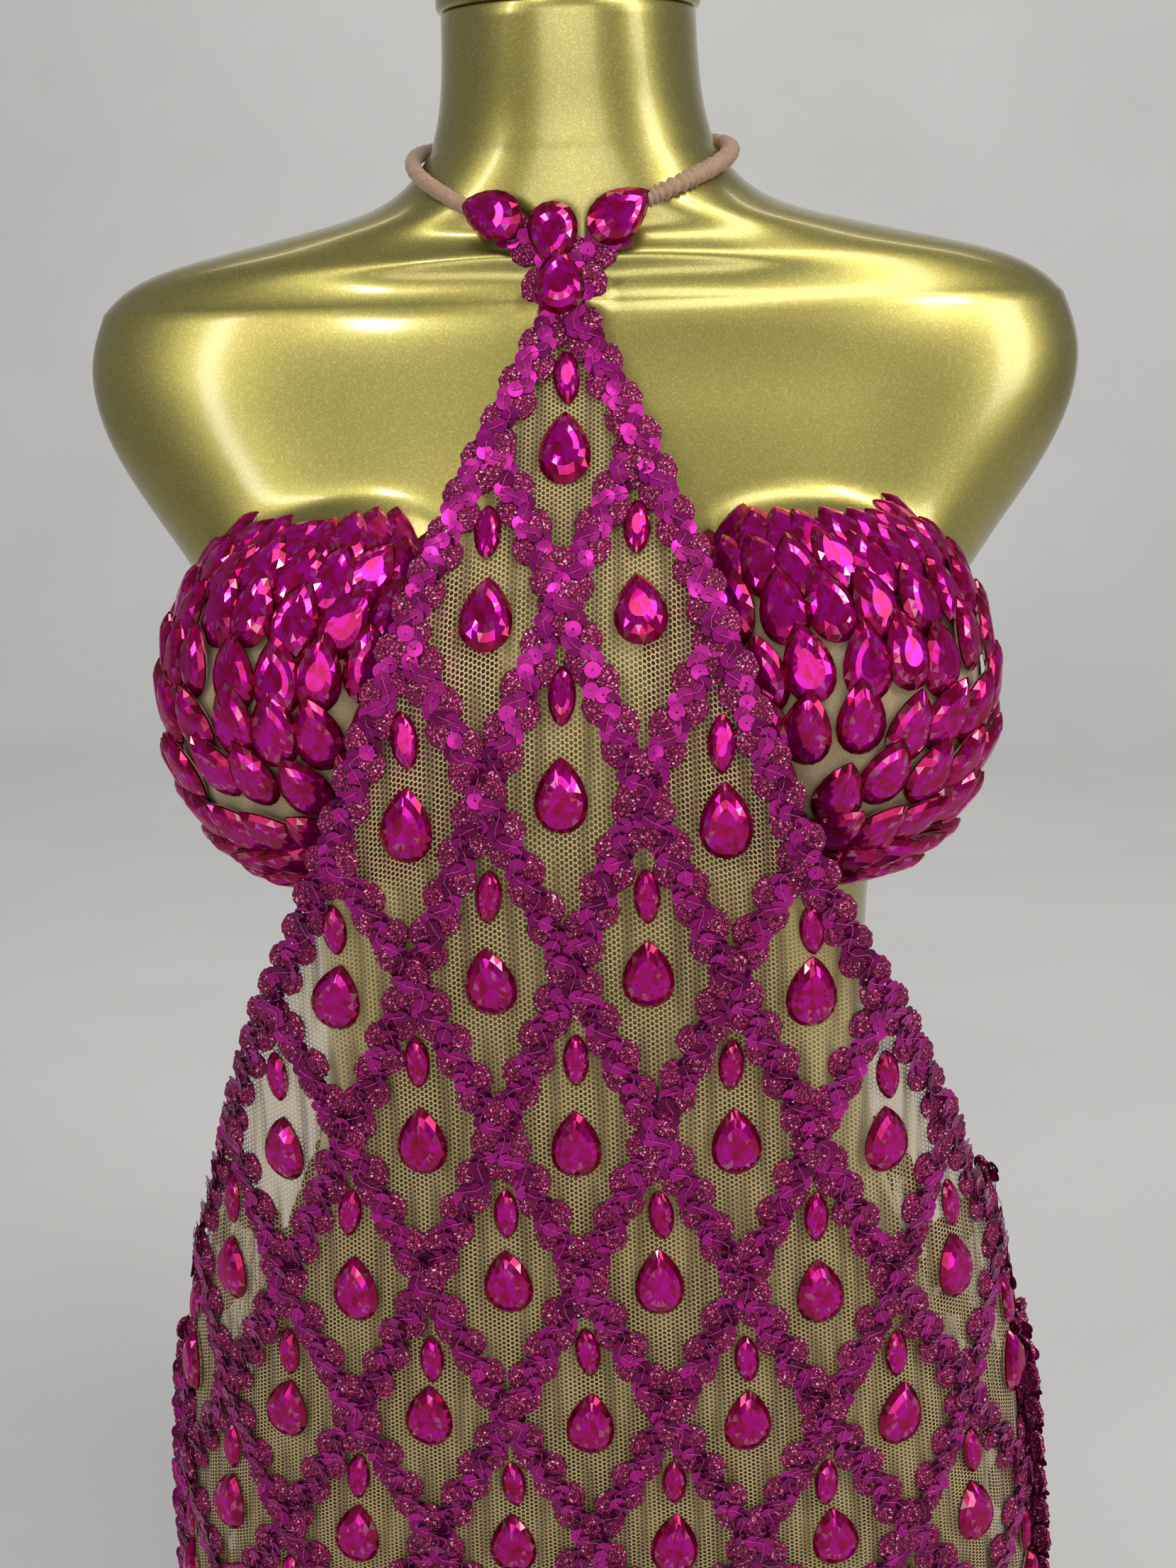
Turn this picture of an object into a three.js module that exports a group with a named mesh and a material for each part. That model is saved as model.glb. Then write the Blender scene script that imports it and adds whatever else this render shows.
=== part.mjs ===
/**
 * A sequin stage outfit of two pieces on a limbless torso form, in millimetres, +Z up, front to -Y.
 * One piece is a strapless bra whose cups are covered with teardrop stones. The other is a halter dress:
 * nude tulle under a diamond lattice of sequin braid, with a teardrop and a marquise stone in each diamond.
 * The dress is cut on the lattice itself. Diagonal coordinates a and b run down to the right and down to
 * the left from the halter's point, so every diamond is one unit cell, and
 *   row    = a + b        (0 at the halter's point, 10 at the hem's points)
 *   column = (a - b) / 2  (0 at centre front, 7 at centre back, one diamond wide each)
 */
import * as THREE from 'three';

// Driving dimensions, mm
const CLOTH = 2.0;            // wall of the tulle, its folds taken in
const SEAM_GAP = 0.8;         // between front and back at the side seams
const BRAID_WIDTH = 14;       // sequin braid, edge to edge
const BRAID_THICK = 3;        // sequin braid, proud of the tulle
const TOUCH = 0.3;            // air between pieces that lie on each other
const DROP = { width: 20, length: 30, height: 5.5 };      // teardrop stone
const NAVETTE = { width: 10, length: 20, height: 3.5 };   // marquise stone
const COLUMNS = 14;           // diamonds round the hem
const HEM_ROW = 9;            // last row of whole diamonds
const HIP_ROW = 7;            // first row that goes all round
const SIDE_COLUMN = 3.25;     // the side seams zigzag about this column
const NECK_TOP = 800;         // top of the form's neck, under its cap
const NECK_CAP = { height: 14, lip: 1.5 };
const CORD_DIAMETER = 7;      // padded tube round the neck

// Finishes
const MAGENTA = { color: 0x9b1468, roughness: 0.35, metalness: 0.35 };
const TULLE = { color: 0xb59a74, roughness: 0.8, metalness: 0 };
const GOLD = { color: 0xa89a45, roughness: 0.3, metalness: 0.6 };

/** Smooth value from a table at z: rows are sorted by the key column, and the ends are held. */
function lookUp(table, key, name, at) {
  if (at <= table[0][key]) return table[0][name];
  const last = table.length - 1;
  if (at >= table[last][key]) return table[last][name];
  let k = 0;
  while (at > table[k + 1][key]) k += 1;
  const slope = (m) => {
    const low = Math.max(0, m - 1);
    const high = Math.min(last, m + 1);
    return (table[high][name] - table[low][name]) / (table[high][key] - table[low][key]);
  };
  const span = table[k + 1][key] - table[k][key];
  const t = (at - table[k][key]) / span;
  const t2 = t * t;
  const t3 = t2 * t;
  return (2 * t3 - 3 * t2 + 1) * table[k][name] + (t3 - 2 * t2 + t) * span * slope(k)
    + (3 * t2 - 2 * t3) * table[k + 1][name] + (t3 - t2) * span * slope(k + 1);
}

// The torso form: half width, depth in front of and behind its own middle, the middle's y, and squareness
const TORSO = [
  { z: 0, half: 166, front: 58, back: 98, middle: 0, square: 2.3 },
  { z: 55, half: 177, front: 63, back: 108, middle: 0, square: 2.3 },
  { z: 110, half: 180, front: 68, back: 116, middle: 0, square: 2.3 },
  { z: 170, half: 173, front: 76, back: 113, middle: 0, square: 2.3 },
  { z: 225, half: 156, front: 82, back: 100, middle: 0, square: 2.2 },
  { z: 285, half: 134, front: 84, back: 83, middle: 0, square: 2.2 },
  { z: 340, half: 122, front: 82, back: 72, middle: 0, square: 2.2 },
  { z: 390, half: 121, front: 80, back: 70, middle: 0, square: 2.2 },
  { z: 440, half: 123, front: 80, back: 75, middle: 0, square: 2.2 },
  { z: 490, half: 130, front: 82, back: 83, middle: 1, square: 2.2 },
  { z: 540, half: 147, front: 82, back: 91, middle: 3, square: 2.3 },
  { z: 583, half: 174, front: 78, back: 93, middle: 5, square: 2.2 },
  { z: 610, half: 193, front: 73, back: 88, middle: 8, square: 2.1 },
  { z: 635, half: 205, front: 68, back: 80, middle: 10, square: 2.1 },
  { z: 660, half: 209, front: 63, back: 71, middle: 10, square: 2.1 },
  { z: 680, half: 202, front: 58, back: 62, middle: 10, square: 2.1 },
  { z: 690, half: 192, front: 54, back: 57, middle: 10, square: 2.0 },
  { z: 698, half: 172, front: 50, back: 53, middle: 10, square: 2.0 },
  { z: 704, half: 142, front: 48, back: 51, middle: 9, square: 2.0 },
  { z: 711, half: 108, front: 48, back: 50, middle: 9, square: 2.0 },
  { z: 723, half: 79, front: 49, back: 50, middle: 9, square: 2.0 },
  { z: 740, half: 63, front: 50, back: 50, middle: 9, square: 2.0 },
  { z: 757, half: 56, front: 51, back: 50, middle: 8, square: 2.0 },
  { z: 777, half: 53, front: 52, back: 51, middle: 5, square: 2.0 },
  { z: NECK_TOP, half: 52, front: 53, back: 52, middle: 2, square: 2.0 },
];
// Each side of the bust is part of an ellipsoid: centre and half sizes
const BUST = { x: 98, y: -60, z: 530, rx: 62, ry: 60, rz: 71 };
const BUST_BLEND = 9;         // softness of the crease where the bust meets the chest

/** Distance from the axis to a superellipse with its middle at y = middle, along the direction angle. */
function ovalRadius(half, front, back, middle, square, angle) {
  let low = 0;
  let high = 400;
  for (let k = 0; k < 30; k += 1) {
    const mid = (low + high) / 2;
    const x = mid * Math.sin(angle);
    const y = -mid * Math.cos(angle) - middle;
    const depth = y < 0 ? front : back;
    const inside = (Math.abs(x) / half) ** square + (Math.abs(y) / depth) ** square < 1;
    if (inside) low = mid;
    else high = mid;
  }
  return low;
}

/** Far crossing of a horizontal ray from the axis with one side of the bust at height z, or 0. */
function bustRadius(angle, z, side) {
  const share = 1 - ((z - BUST.z) / BUST.rz) ** 2;
  if (share <= 0) return 0;
  const dx = Math.sin(angle) / BUST.rx;
  const dy = -Math.cos(angle) / BUST.ry;
  const cx = side * BUST.x / BUST.rx;
  const cy = BUST.y / BUST.ry;
  const a = dx * dx + dy * dy;
  const b = dx * cx + dy * cy;
  const root = b * b - a * (cx * cx + cy * cy - share);
  return root <= 0 ? 0 : (b + Math.sqrt(root)) / a;
}

/** Radius of the torso form at a height: the oval of the table, softly joined to the bust. */
function formRadius(angle, z) {
  const at = (name) => lookUp(TORSO, 'z', name, z);
  const chest = ovalRadius(at('half'), at('front'), at('back'), at('middle'), at('square'), angle);
  const bust = Math.max(bustRadius(angle, z, 1), bustRadius(angle, z, -1));
  if (bust < chest - BUST_BLEND) return chest;
  const h = Math.max(0, BUST_BLEND - Math.abs(chest - bust)) / BUST_BLEND;
  return Math.max(chest, bust) + h * h * BUST_BLEND / 4;
}

/** Point on the torso form, moved out level by an offset. Angle 0 is the front, and +X is at 90 degrees. */
function formPoint(angle, z, offset = 0) {
  const r = formRadius(angle, z) + offset;
  return new THREE.Vector3(r * Math.sin(angle), -r * Math.cos(angle), z);
}

// The dress as it hangs: half width, depth in front and behind, squareness of its front, at each height
const DRESS = [
  { z: 40, half: 192, front: 74, back: 131, square: 2.5 },
  { z: 110, half: 191, front: 80, back: 131, square: 2.5 },
  { z: 170, half: 187, front: 88, back: 128, square: 2.5 },
  { z: 225, half: 182, front: 96, back: 121, square: 2.5 },
  { z: 285, half: 175, front: 104, back: 112, square: 2.6 },
  { z: 350, half: 167, front: 112, back: 104, square: 2.8 },
  { z: 420, half: 162, front: 123, back: 100, square: 3.2 },
  { z: 458, half: 162, front: 131, back: 100, square: 3.6 },
  { z: 492, half: 166, front: 135.5, back: 100, square: 4.0 },
  { z: 530, half: 170, front: 136, back: 100, square: 4.2 },
  { z: 562, half: 168, front: 126, back: 100, square: 4.0 },
  { z: 592, half: 160, front: 106, back: 100, square: 3.6 },
  { z: 620, half: 150, front: 88, back: 100, square: 3.2 },
  { z: 650, half: 140, front: 70, back: 100, square: 3.0 },
  { z: 675, half: 130, front: 57, back: 100, square: 3.0 },
  { z: 700, half: 120, front: 50, back: 100, square: 3.0 },
];
// Height of each lattice row at the middle of the front, the width of a diamond there, and how far the row
// sags a column out (and four times as far from two columns out), because the bust takes up the length
const ROWS = [
  { row: -1, z: 740, width: 58, sag: 0 },
  { row: 0, z: 686, width: 58, sag: 0 },
  { row: 1, z: 631, width: 58, sag: 3 },
  { row: 2, z: 574, width: 59, sag: 11 },
  { row: 3, z: 509, width: 60, sag: 12 },
  { row: 4, z: 434, width: 62, sag: 5 },
  { row: 5, z: 362, width: 63, sag: 3 },
  { row: 6, z: 294, width: 65, sag: 3 },
  { row: 7, z: 227, width: 67, sag: 2 },
  { row: 8, z: 163, width: 69, sag: 1 },
  { row: 9, z: 104, width: 70, sag: 0 },
  { row: 10, z: 47, width: 70, sag: 0 },
  { row: 11, z: 0, width: 70, sag: 0 },
];
const ARC_STEPS = 90;
const arcs = new Map();

/** Half of the dress's oval at height z as points with their running length, from centre front to back. */
function halfOval(z) {
  const key = Math.round(z * 10);
  if (arcs.has(key)) return arcs.get(key);
  const at = (name) => lookUp(DRESS, 'z', name, z);
  const points = [];
  let length = 0;
  for (let k = 0; k <= ARC_STEPS; k += 1) {
    const angle = Math.PI * k / ARC_STEPS;
    const front = angle < Math.PI / 2;
    const power = 2 / (front ? at('square') : 2.2);
    const x = at('half') * Math.sin(angle) ** power;
    const y = -(front ? at('front') : at('back')) * Math.sign(Math.cos(angle)) * Math.abs(Math.cos(angle)) ** power;
    if (k) length += Math.hypot(x - points[k - 1].x, y - points[k - 1].y);
    points.push({ x, y, length });
  }
  arcs.set(key, points);
  return points;
}

/** The dress's smooth surface at a lattice column and row, before its folds. */
function dressPlain(column, row) {
  const side = Math.sign(column) || 1;
  const away = Math.abs(column);
  const z = lookUp(ROWS, 'row', 'z', row) - lookUp(ROWS, 'row', 'sag', row) * Math.min(away, 2) ** 2;
  const oval = halfOval(z);
  const width = lookUp(ROWS, 'row', 'width', row);
  const total = oval[oval.length - 1].length;
  const reach = SIDE_COLUMN * width;
  const beyond = (away - SIDE_COLUMN) * (total - reach) / (COLUMNS / 2 - SIDE_COLUMN);
  const length = away < SIDE_COLUMN ? away * width : reach + beyond;
  let k = 0;
  while (k < oval.length - 2 && oval[k + 1].length < length) k += 1;
  const t = (length - oval[k].length) / (oval[k + 1].length - oval[k].length);
  const x = oval[k].x + t * (oval[k + 1].x - oval[k].x);
  const y = oval[k].y + t * (oval[k + 1].y - oval[k].y);
  return new THREE.Vector3(side * x, y, z);
}

// Gathers: where the back is drawn into the hips, soft upright folds stand out of the oval
const GATHER = { column: 4, spread: 1, depth: 10, pitch: 1, backDepth: 4, fadeRows: 1.2 };

/** How far the folds stand out at a column and row. */
function foldDepth(column, row) {
  const away = Math.abs(column);
  const nearHip = Math.exp(-(((away - GATHER.column) / GATHER.spread) ** 2));
  const behind = away > GATHER.column ? 1 - nearHip : 0;
  const wave = 0.5 + 0.5 * Math.cos(2 * Math.PI * (away - GATHER.column) / GATHER.pitch);
  const fade = Math.min(1, Math.max(0, (row - HIP_ROW + 1.6) / GATHER.fadeRows));
  return (GATHER.depth * nearHip + GATHER.backDepth * behind) * wave * fade;
}

/** Point of the dress at lattice a, b, moved out along the surface's normal by an offset. */
function dressPoint(a, b, offset = 0, shift = 0) {
  const row = a + b;
  let column = (a - b) / 2;
  if (column > COLUMNS / 2) column -= COLUMNS;
  if (column < -COLUMNS / 2) column += COLUMNS;
  const step = 0.02;
  const folded = (c, r) => {
    const p = dressPlain(c, r);
    const out = new THREE.Vector3(p.x, p.y, 0).normalize();
    return p.addScaledVector(out, foldDepth(c, r));
  };
  const across = folded(column + step, row).sub(folded(column - step, row));
  const down = folded(column, row + step).sub(folded(column, row - step));
  const normal = down.cross(across).normalize();
  const point = folded(column, row);
  const sideways = across.clone().setZ(0).normalize().multiplyScalar(shift);
  return point.addScaledVector(normal, offset).add(sideways);
}

/** Collects points and triangles of one closed body, and gives them back as a geometry facing out. */
class Shell {
  constructor() {
    this.points = [];
    this.index = new Map();
    this.faces = [];
  }

  point(key, make) {
    if (!this.index.has(key)) {
      this.index.set(key, this.points.length);
      this.points.push(make());
    }
    return this.index.get(key);
  }

  face(...corners) {
    for (let k = 1; k + 1 < corners.length; k += 1) {
      this.faces.push([corners[0], corners[k], corners[k + 1]]);
    }
  }

  /** Closes a wall: joins each free edge of the outer faces to the same edge of the inner ones. */
  closeEdges(outer, partner) {
    const seen = new Map();
    for (const [p, q, r] of outer) {
      for (const [u, v] of [[p, q], [q, r], [r, p]]) {
        if (seen.has(`${v},${u}`)) seen.delete(`${v},${u}`);
        else seen.set(`${u},${v}`, [u, v]);
      }
    }
    for (const [u, v] of seen.values()) this.face(v, u, partner.get(u), partner.get(v));
  }

  geometry() {
    const volume = this.faces.reduce((sum, [p, q, r]) => (
      sum + this.points[p].dot(this.points[q].clone().cross(this.points[r]))), 0);
    const positions = this.points.flatMap((p) => [p.x, p.y, p.z]);
    const order = this.faces.flatMap(([p, q, r]) => (volume > 0 ? [p, q, r] : [p, r, q]));
    const geometry = new THREE.BufferGeometry();
    geometry.setAttribute('position', new THREE.Float32BufferAttribute(positions, 3));
    geometry.setIndex(order);
    geometry.computeVertexNormals();
    return geometry;
  }
}

/** Outline of a stone lying flat, in mm, point up: a drop has one tip and a navette two. */
function stoneOutline({ width, length }, tips) {
  const side = width / 2;
  const end = length / 2;
  if (tips === 2) return [[0, end], [side, 0], [0, -end], [-side, 0]];
  return [[0, end], [side * 0.8, end * 0.1], [side * 0.9, -end * 0.55], [0, -end], [-side * 0.9, -end * 0.55],
    [-side * 0.8, end * 0.1]];
}

// The lattice
const STRIP = BRAID_WIDTH / 2 / 58;       // half the braid as a share of a diamond, side to side
const LINES = [0, STRIP, 1 - STRIP];      // grid lines in each cell: the braid's middle, and its two edges
const PER_CELL = LINES.length;
const gridValue = (k) => Math.floor(k / PER_CELL) + LINES[((k % PER_CELL) + PER_CELL) % PER_CELL];
const TURN = COLUMNS * PER_CELL;

/** The same place on the closed ring has one key, whichever way round it was reached. */
function ringKey(i, j) {
  const turns = Math.round((i - j) / 2 / TURN);
  return `${i - turns * TURN},${j + turns * TURN}`;
}

/** Whole diamonds of a panel: those whose middle column passes the test, from a row to the hem. */
function cellsWhere(test) {
  const cells = [];
  for (let row = 1; row <= HEM_ROW; row += 1) {
    for (let twice = -COLUMNS; twice <= 2 * COLUMNS; twice += 1) {
      const column = twice / 2;
      const i = (row - 1 + twice) / 2;
      const j = (row - 1 - twice) / 2;
      if (Number.isInteger(i) && test(column, row, i, j)) cells.push([i, j]);
    }
  }
  return cells;
}

const FRONT_CELLS = cellsWhere((column, row, i, j) => i >= 0 && j >= 0 && Math.abs(column) < SIDE_COLUMN);
const BACK_CELLS = cellsWhere((column, row) => (
  row >= HIP_ROW && column > SIDE_COLUMN && column < COLUMNS - SIDE_COLUMN));

/** Small squares under the braid (and, with fields, the open middles too) of a panel's diamonds. */
function squaresOf(cells, taken, fields) {
  const squares = new Map();
  for (const [i, j] of cells) {
    for (let u = -1; u <= PER_CELL; u += 1) {
      for (let v = -1; v <= PER_CELL; v += 1) {
        if (!fields && u === 1 && v === 1) continue;
        const square = [i * PER_CELL + u, j * PER_CELL + v];
        const key = ringKey(...square);
        if (!taken.has(key)) squares.set(key, square);
      }
    }
  }
  return squares;
}

/** Squares that lie in a panel's own diamonds, open middles and all. */
function ownSquares(cells) {
  const own = new Set();
  for (const [i, j] of cells) {
    for (let u = 0; u < PER_CELL; u += 1) {
      for (let v = 0; v < PER_CELL; v += 1) own.add(ringKey(i * PER_CELL + u, j * PER_CELL + v));
    }
  }
  return own;
}

const cornersOf = ([i, j]) => [[i, j], [i + 1, j], [i + 1, j + 1], [i, j + 1]];

/** A panel's two square sets and the seam points that it shares with the other panel. */
function layOut(cells, othersOwn, othersEdge) {
  const taken = new Set([...othersOwn, ...othersEdge]);
  return { braid: squaresOf(cells, taken, false), cloth: squaresOf(cells, taken, true) };
}
const frontLayout = layOut(FRONT_CELLS, ownSquares(BACK_CELLS), new Set());
const backLayout = layOut(BACK_CELLS, ownSquares(FRONT_CELLS), new Set(frontLayout.cloth.keys()));
const pointKeys = (layout) => new Set([...layout.cloth.values()].flatMap((square) => (
  cornersOf(square).map((corner) => ringKey(...corner)))));
const frontPoints = pointKeys(frontLayout);
const seamPoints = new Set([...pointKeys(backLayout)].filter((key) => frontPoints.has(key)));

/** Sideways shift that opens the seam: front points move to the middle front, back points away from it. */
function seamShift(i, j, isBack) {
  if (!seamPoints.has(ringKey(i, j))) return 0;
  const [p, q] = ringKey(i, j).split(',').map(Number);
  const towardsRight = p > q ? 1 : -1;
  return (isBack ? 1 : -1) * towardsRight * SEAM_GAP / 2;
}

/** A stone raised in an outer wall, from its foot to its flat table. Gives the foot's points. */
function raiseStone(shell, name, outline, height, place) {
  const ring = (level, scale, lift) => outline.map(([x, y], k) => (
    shell.point(`${name} ${level} ${k}`, () => place(x * scale, y * scale, lift))));
  const foot = ring('foot', 1, 0);
  const table = ring('table', 0.62, height);
  foot.forEach((id, k) => {
    const next = (k + 1) % foot.length;
    shell.face(id, foot[next], table[next], table[k]);
  });
  shell.face(...table);
  return foot;
}

/** Triangles that fill a flat outline with holes in it, each clockwise as seen from outside. */
function fillFlat(contour, holes) {
  const flat = [...contour, ...holes.flat()];
  return THREE.ShapeUtils.triangulateShape(contour, holes).map(([p, q, r]) => {
    const area = (flat[q].x - flat[p].x) * (flat[r].y - flat[p].y)
      - (flat[r].x - flat[p].x) * (flat[q].y - flat[p].y);
    return area > 0 ? [r, q, p] : [p, q, r];
  });
}

/** The open middle of a diamond: cloth from the braid to the stones, and the stones on it. */
function stonedField(shell, name, corners, place, stones) {
  const contour = corners.map((corner) => new THREE.Vector2(...corner.flat));
  const feet = stones.map(({ at, outline, height }, k) => raiseStone(shell, `${name} stone ${k}`, outline,
    height, (x, y, lift) => place(at[0] + x, at[1] + y, lift)));
  const holes = stones.map(({ at, outline }) => outline.map(([x, y]) => new THREE.Vector2(at[0] + x, at[1] + y)));
  const ids = [...corners.map((corner) => corner.id), ...feet.flat()];
  fillFlat(contour, holes).forEach(([p, q, r]) => shell.face(ids[p], ids[q], ids[r]));
}

/** Tulle panel: a plain inside, and an outside with the stones raised in each diamond. */
function clothPanel(cells, layout, isBack) {
  const shell = new Shell();
  const owned = new Set(cells.map(([i, j]) => ringKey(i * PER_CELL + 1, j * PER_CELL + 1)));
  const grid = (i, j, out) => shell.point(`${out ? 'out' : 'in'} ${i},${j}`, () => (
    dressPoint(gridValue(i), gridValue(j), out ? CLOTH : 0, seamShift(i, j, isBack))));
  const partner = new Map();
  const outer = [];
  for (const square of layout.cloth.values()) {
    const [i, j] = square;
    const outs = cornersOf(square).map(([u, v]) => grid(u, v, true));
    const ins = cornersOf(square).map(([u, v]) => grid(u, v, false));
    outs.forEach((id, k) => partner.set(id, ins[k]));
    outer.push([outs[0], outs[1], outs[2]], [outs[0], outs[2], outs[3]]);
    if (!owned.has(ringKey(i, j))) {
      shell.face(outs[0], outs[1], outs[2], outs[3]);
      shell.face(ins[0], ins[3], ins[2], ins[1]);
      continue;
    }
    const a = (gridValue(i) + gridValue(i + 1)) / 2;
    const b = (gridValue(j) + gridValue(j + 1)) / 2;
    const middle = shell.point(`in middle ${i},${j}`, () => dressPoint(a, b, 0));
    ins.forEach((id, k) => shell.face(ins[(k + 1) % 4], id, middle));
    const row = a + b;
    const width = lookUp(ROWS, 'row', 'width', row);
    const pitch = lookUp(ROWS, 'row', 'z', row - 0.5) - lookUp(ROWS, 'row', 'z', row + 0.5);
    const place = (x, y, lift) => {
      const column = (a - b) / 2 + x / width;
      const at = row - y / pitch;
      return dressPoint(at / 2 + column, at / 2 - column, CLOTH + lift);
    };
    const flatOf = ([u, v]) => {
      const ga = gridValue(u);
      const gb = gridValue(v);
      return [((ga - gb) / 2 - (a - b) / 2) * width, (row - ga - gb) * pitch];
    };
    const corners = cornersOf(square).map((corner, k) => ({ flat: flatOf(corner), id: outs[k] }));
    stonedField(shell, `field ${i},${j}`, corners, place, [
      { at: [0, -0.03 * pitch], outline: stoneOutline(DROP, 1), height: DROP.height },
      { at: [0, 0.45 * pitch], outline: stoneOutline(NAVETTE, 2), height: NAVETTE.height },
    ]);
  }
  shell.closeEdges(outer, partner);
  return shell.geometry();
}

/** Sequin braid over the panel's lattice lines, made from the panel's own points, moved out. */
function braidLattice(layout, isBack) {
  const shell = new Shell();
  const low = CLOTH + TOUCH;
  const grid = (i, j, out) => shell.point(`${out ? 'out' : 'in'} ${i},${j}`, () => (
    dressPoint(gridValue(i), gridValue(j), low + (out ? BRAID_THICK : 0), seamShift(i, j, isBack))));
  const partner = new Map();
  const outer = [];
  for (const square of layout.braid.values()) {
    const outs = cornersOf(square).map(([u, v]) => grid(u, v, true));
    const ins = cornersOf(square).map(([u, v]) => grid(u, v, false));
    outs.forEach((id, k) => partner.set(id, ins[k]));
    outer.push([outs[0], outs[1], outs[2]], [outs[0], outs[2], outs[3]]);
    shell.face(outs[0], outs[1], outs[2], outs[3]);
    shell.face(ins[0], ins[3], ins[2], ins[1]);
  }
  shell.closeEdges(outer, partner);
  return shell.geometry();
}

/** Closed body from rings of points, with both ends capped by fans about their middles. */
function ringBody(rings) {
  const shell = new Shell();
  const ids = rings.map((ring, k) => ring.map((p, m) => shell.point(`${k} ${m}`, () => p)));
  const count = rings[0].length;
  for (let k = 0; k + 1 < rings.length; k += 1) {
    for (let m = 0; m < count; m += 1) {
      const n = (m + 1) % count;
      shell.face(ids[k][m], ids[k][n], ids[k + 1][n], ids[k + 1][m]);
    }
  }
  for (const [end, flip] of [[0, true], [rings.length - 1, false]]) {
    const middle = new THREE.Vector3();
    rings[end].forEach((p) => middle.addScaledVector(p, 1 / count));
    const hub = shell.point(`hub ${end}`, () => middle);
    for (let m = 0; m < count; m += 1) {
      const n = (m + 1) % count;
      if (flip) shell.face(hub, ids[end][n], ids[end][m]);
      else shell.face(hub, ids[end][m], ids[end][n]);
    }
  }
  return shell.geometry();
}

const FORM_SIDES = 40;
const FORM_LEVELS = [0, 55, 110, 170, 225, 285, 340, 390, 440, 462, 476, 492, 511, 530, 550, 568, 584, 598, 612, 635,
  660, 680, 690, 698, 704, 711, 723, 731, 740, 750, 765, NECK_TOP];

/** The torso form: a smooth, solid body from its flat foot to the cut of its neck. */
function torsoForm() {
  return ringBody(FORM_LEVELS.map((z) => Array.from({ length: FORM_SIDES }, (_, m) => (
    formPoint(2 * Math.PI * m / FORM_SIDES, z)))));
}

/** The cap that closes the neck: a low disc a little wider than the neck. */
function neckCap() {
  const level = (z, inset) => Array.from({ length: 32 }, (_, m) => (
    formPoint(2 * Math.PI * m / 32, NECK_TOP, NECK_CAP.lip - inset).setZ(z)));
  const foot = NECK_TOP + TOUCH;
  const top = foot + NECK_CAP.height;
  return ringBody([level(foot, 0), level(top - 2, 0), level(top, 2.5)]);
}

/** Distance from the axis to a cord stretched level over the form: it bridges hollows within its reach. */
function stretchedRadius(angle, z, reach) {
  const steps = 8;
  let farthest = formRadius(angle, z);
  for (let k = 1; k <= steps; k += 1) {
    for (let m = 1; m <= steps; m += 1) {
      const before = THREE.MathUtils.degToRad(reach * k / steps);
      const after = THREE.MathUtils.degToRad(reach * m / steps);
      const p = formRadius(angle - before, z);
      const q = formRadius(angle + after, z);
      const chord = p * q * Math.sin(before + after) / (p * Math.sin(before) + q * Math.sin(after));
      farthest = Math.max(farthest, chord);
    }
  }
  return farthest;
}

// The bra
const CUP = { clear: 2.2, wall: 1.8, rows: 5, columns: 7, top: 62, bottom: -62, inner: -72, outer: 98 };
const BAND = { low: 478, middle: 495, high: 512, wall: 1.6, clear: 1.3, steps: 30 };

/** Point over one side of the bust, moved out by an offset but never into the chest. Longitude 0 is forward. */
function cupPoint(side, longitude, latitude, offset) {
  const lon = THREE.MathUtils.degToRad(longitude);
  const lat = THREE.MathUtils.degToRad(latitude);
  const dir = new THREE.Vector3(side * Math.sin(lon) * Math.cos(lat), -Math.cos(lon) * Math.cos(lat), Math.sin(lat));
  const point = new THREE.Vector3(side * BUST.x, BUST.y, BUST.z)
    .add(dir.clone().multiply(new THREE.Vector3(BUST.rx, BUST.ry, BUST.rz)));
  point.addScaledVector(dir.divide(new THREE.Vector3(BUST.rx, BUST.ry, BUST.rz)).normalize(), offset);
  const angle = Math.atan2(point.x, -point.y);
  const least = Math.max(...[-8, 0, 8].map((up) => stretchedRadius(angle, point.z + up, 9))) + offset;
  const radius = Math.hypot(point.x, point.y);
  return radius < least ? point.multiply(new THREE.Vector3(least / radius, least / radius, 1)) : point;
}

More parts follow.
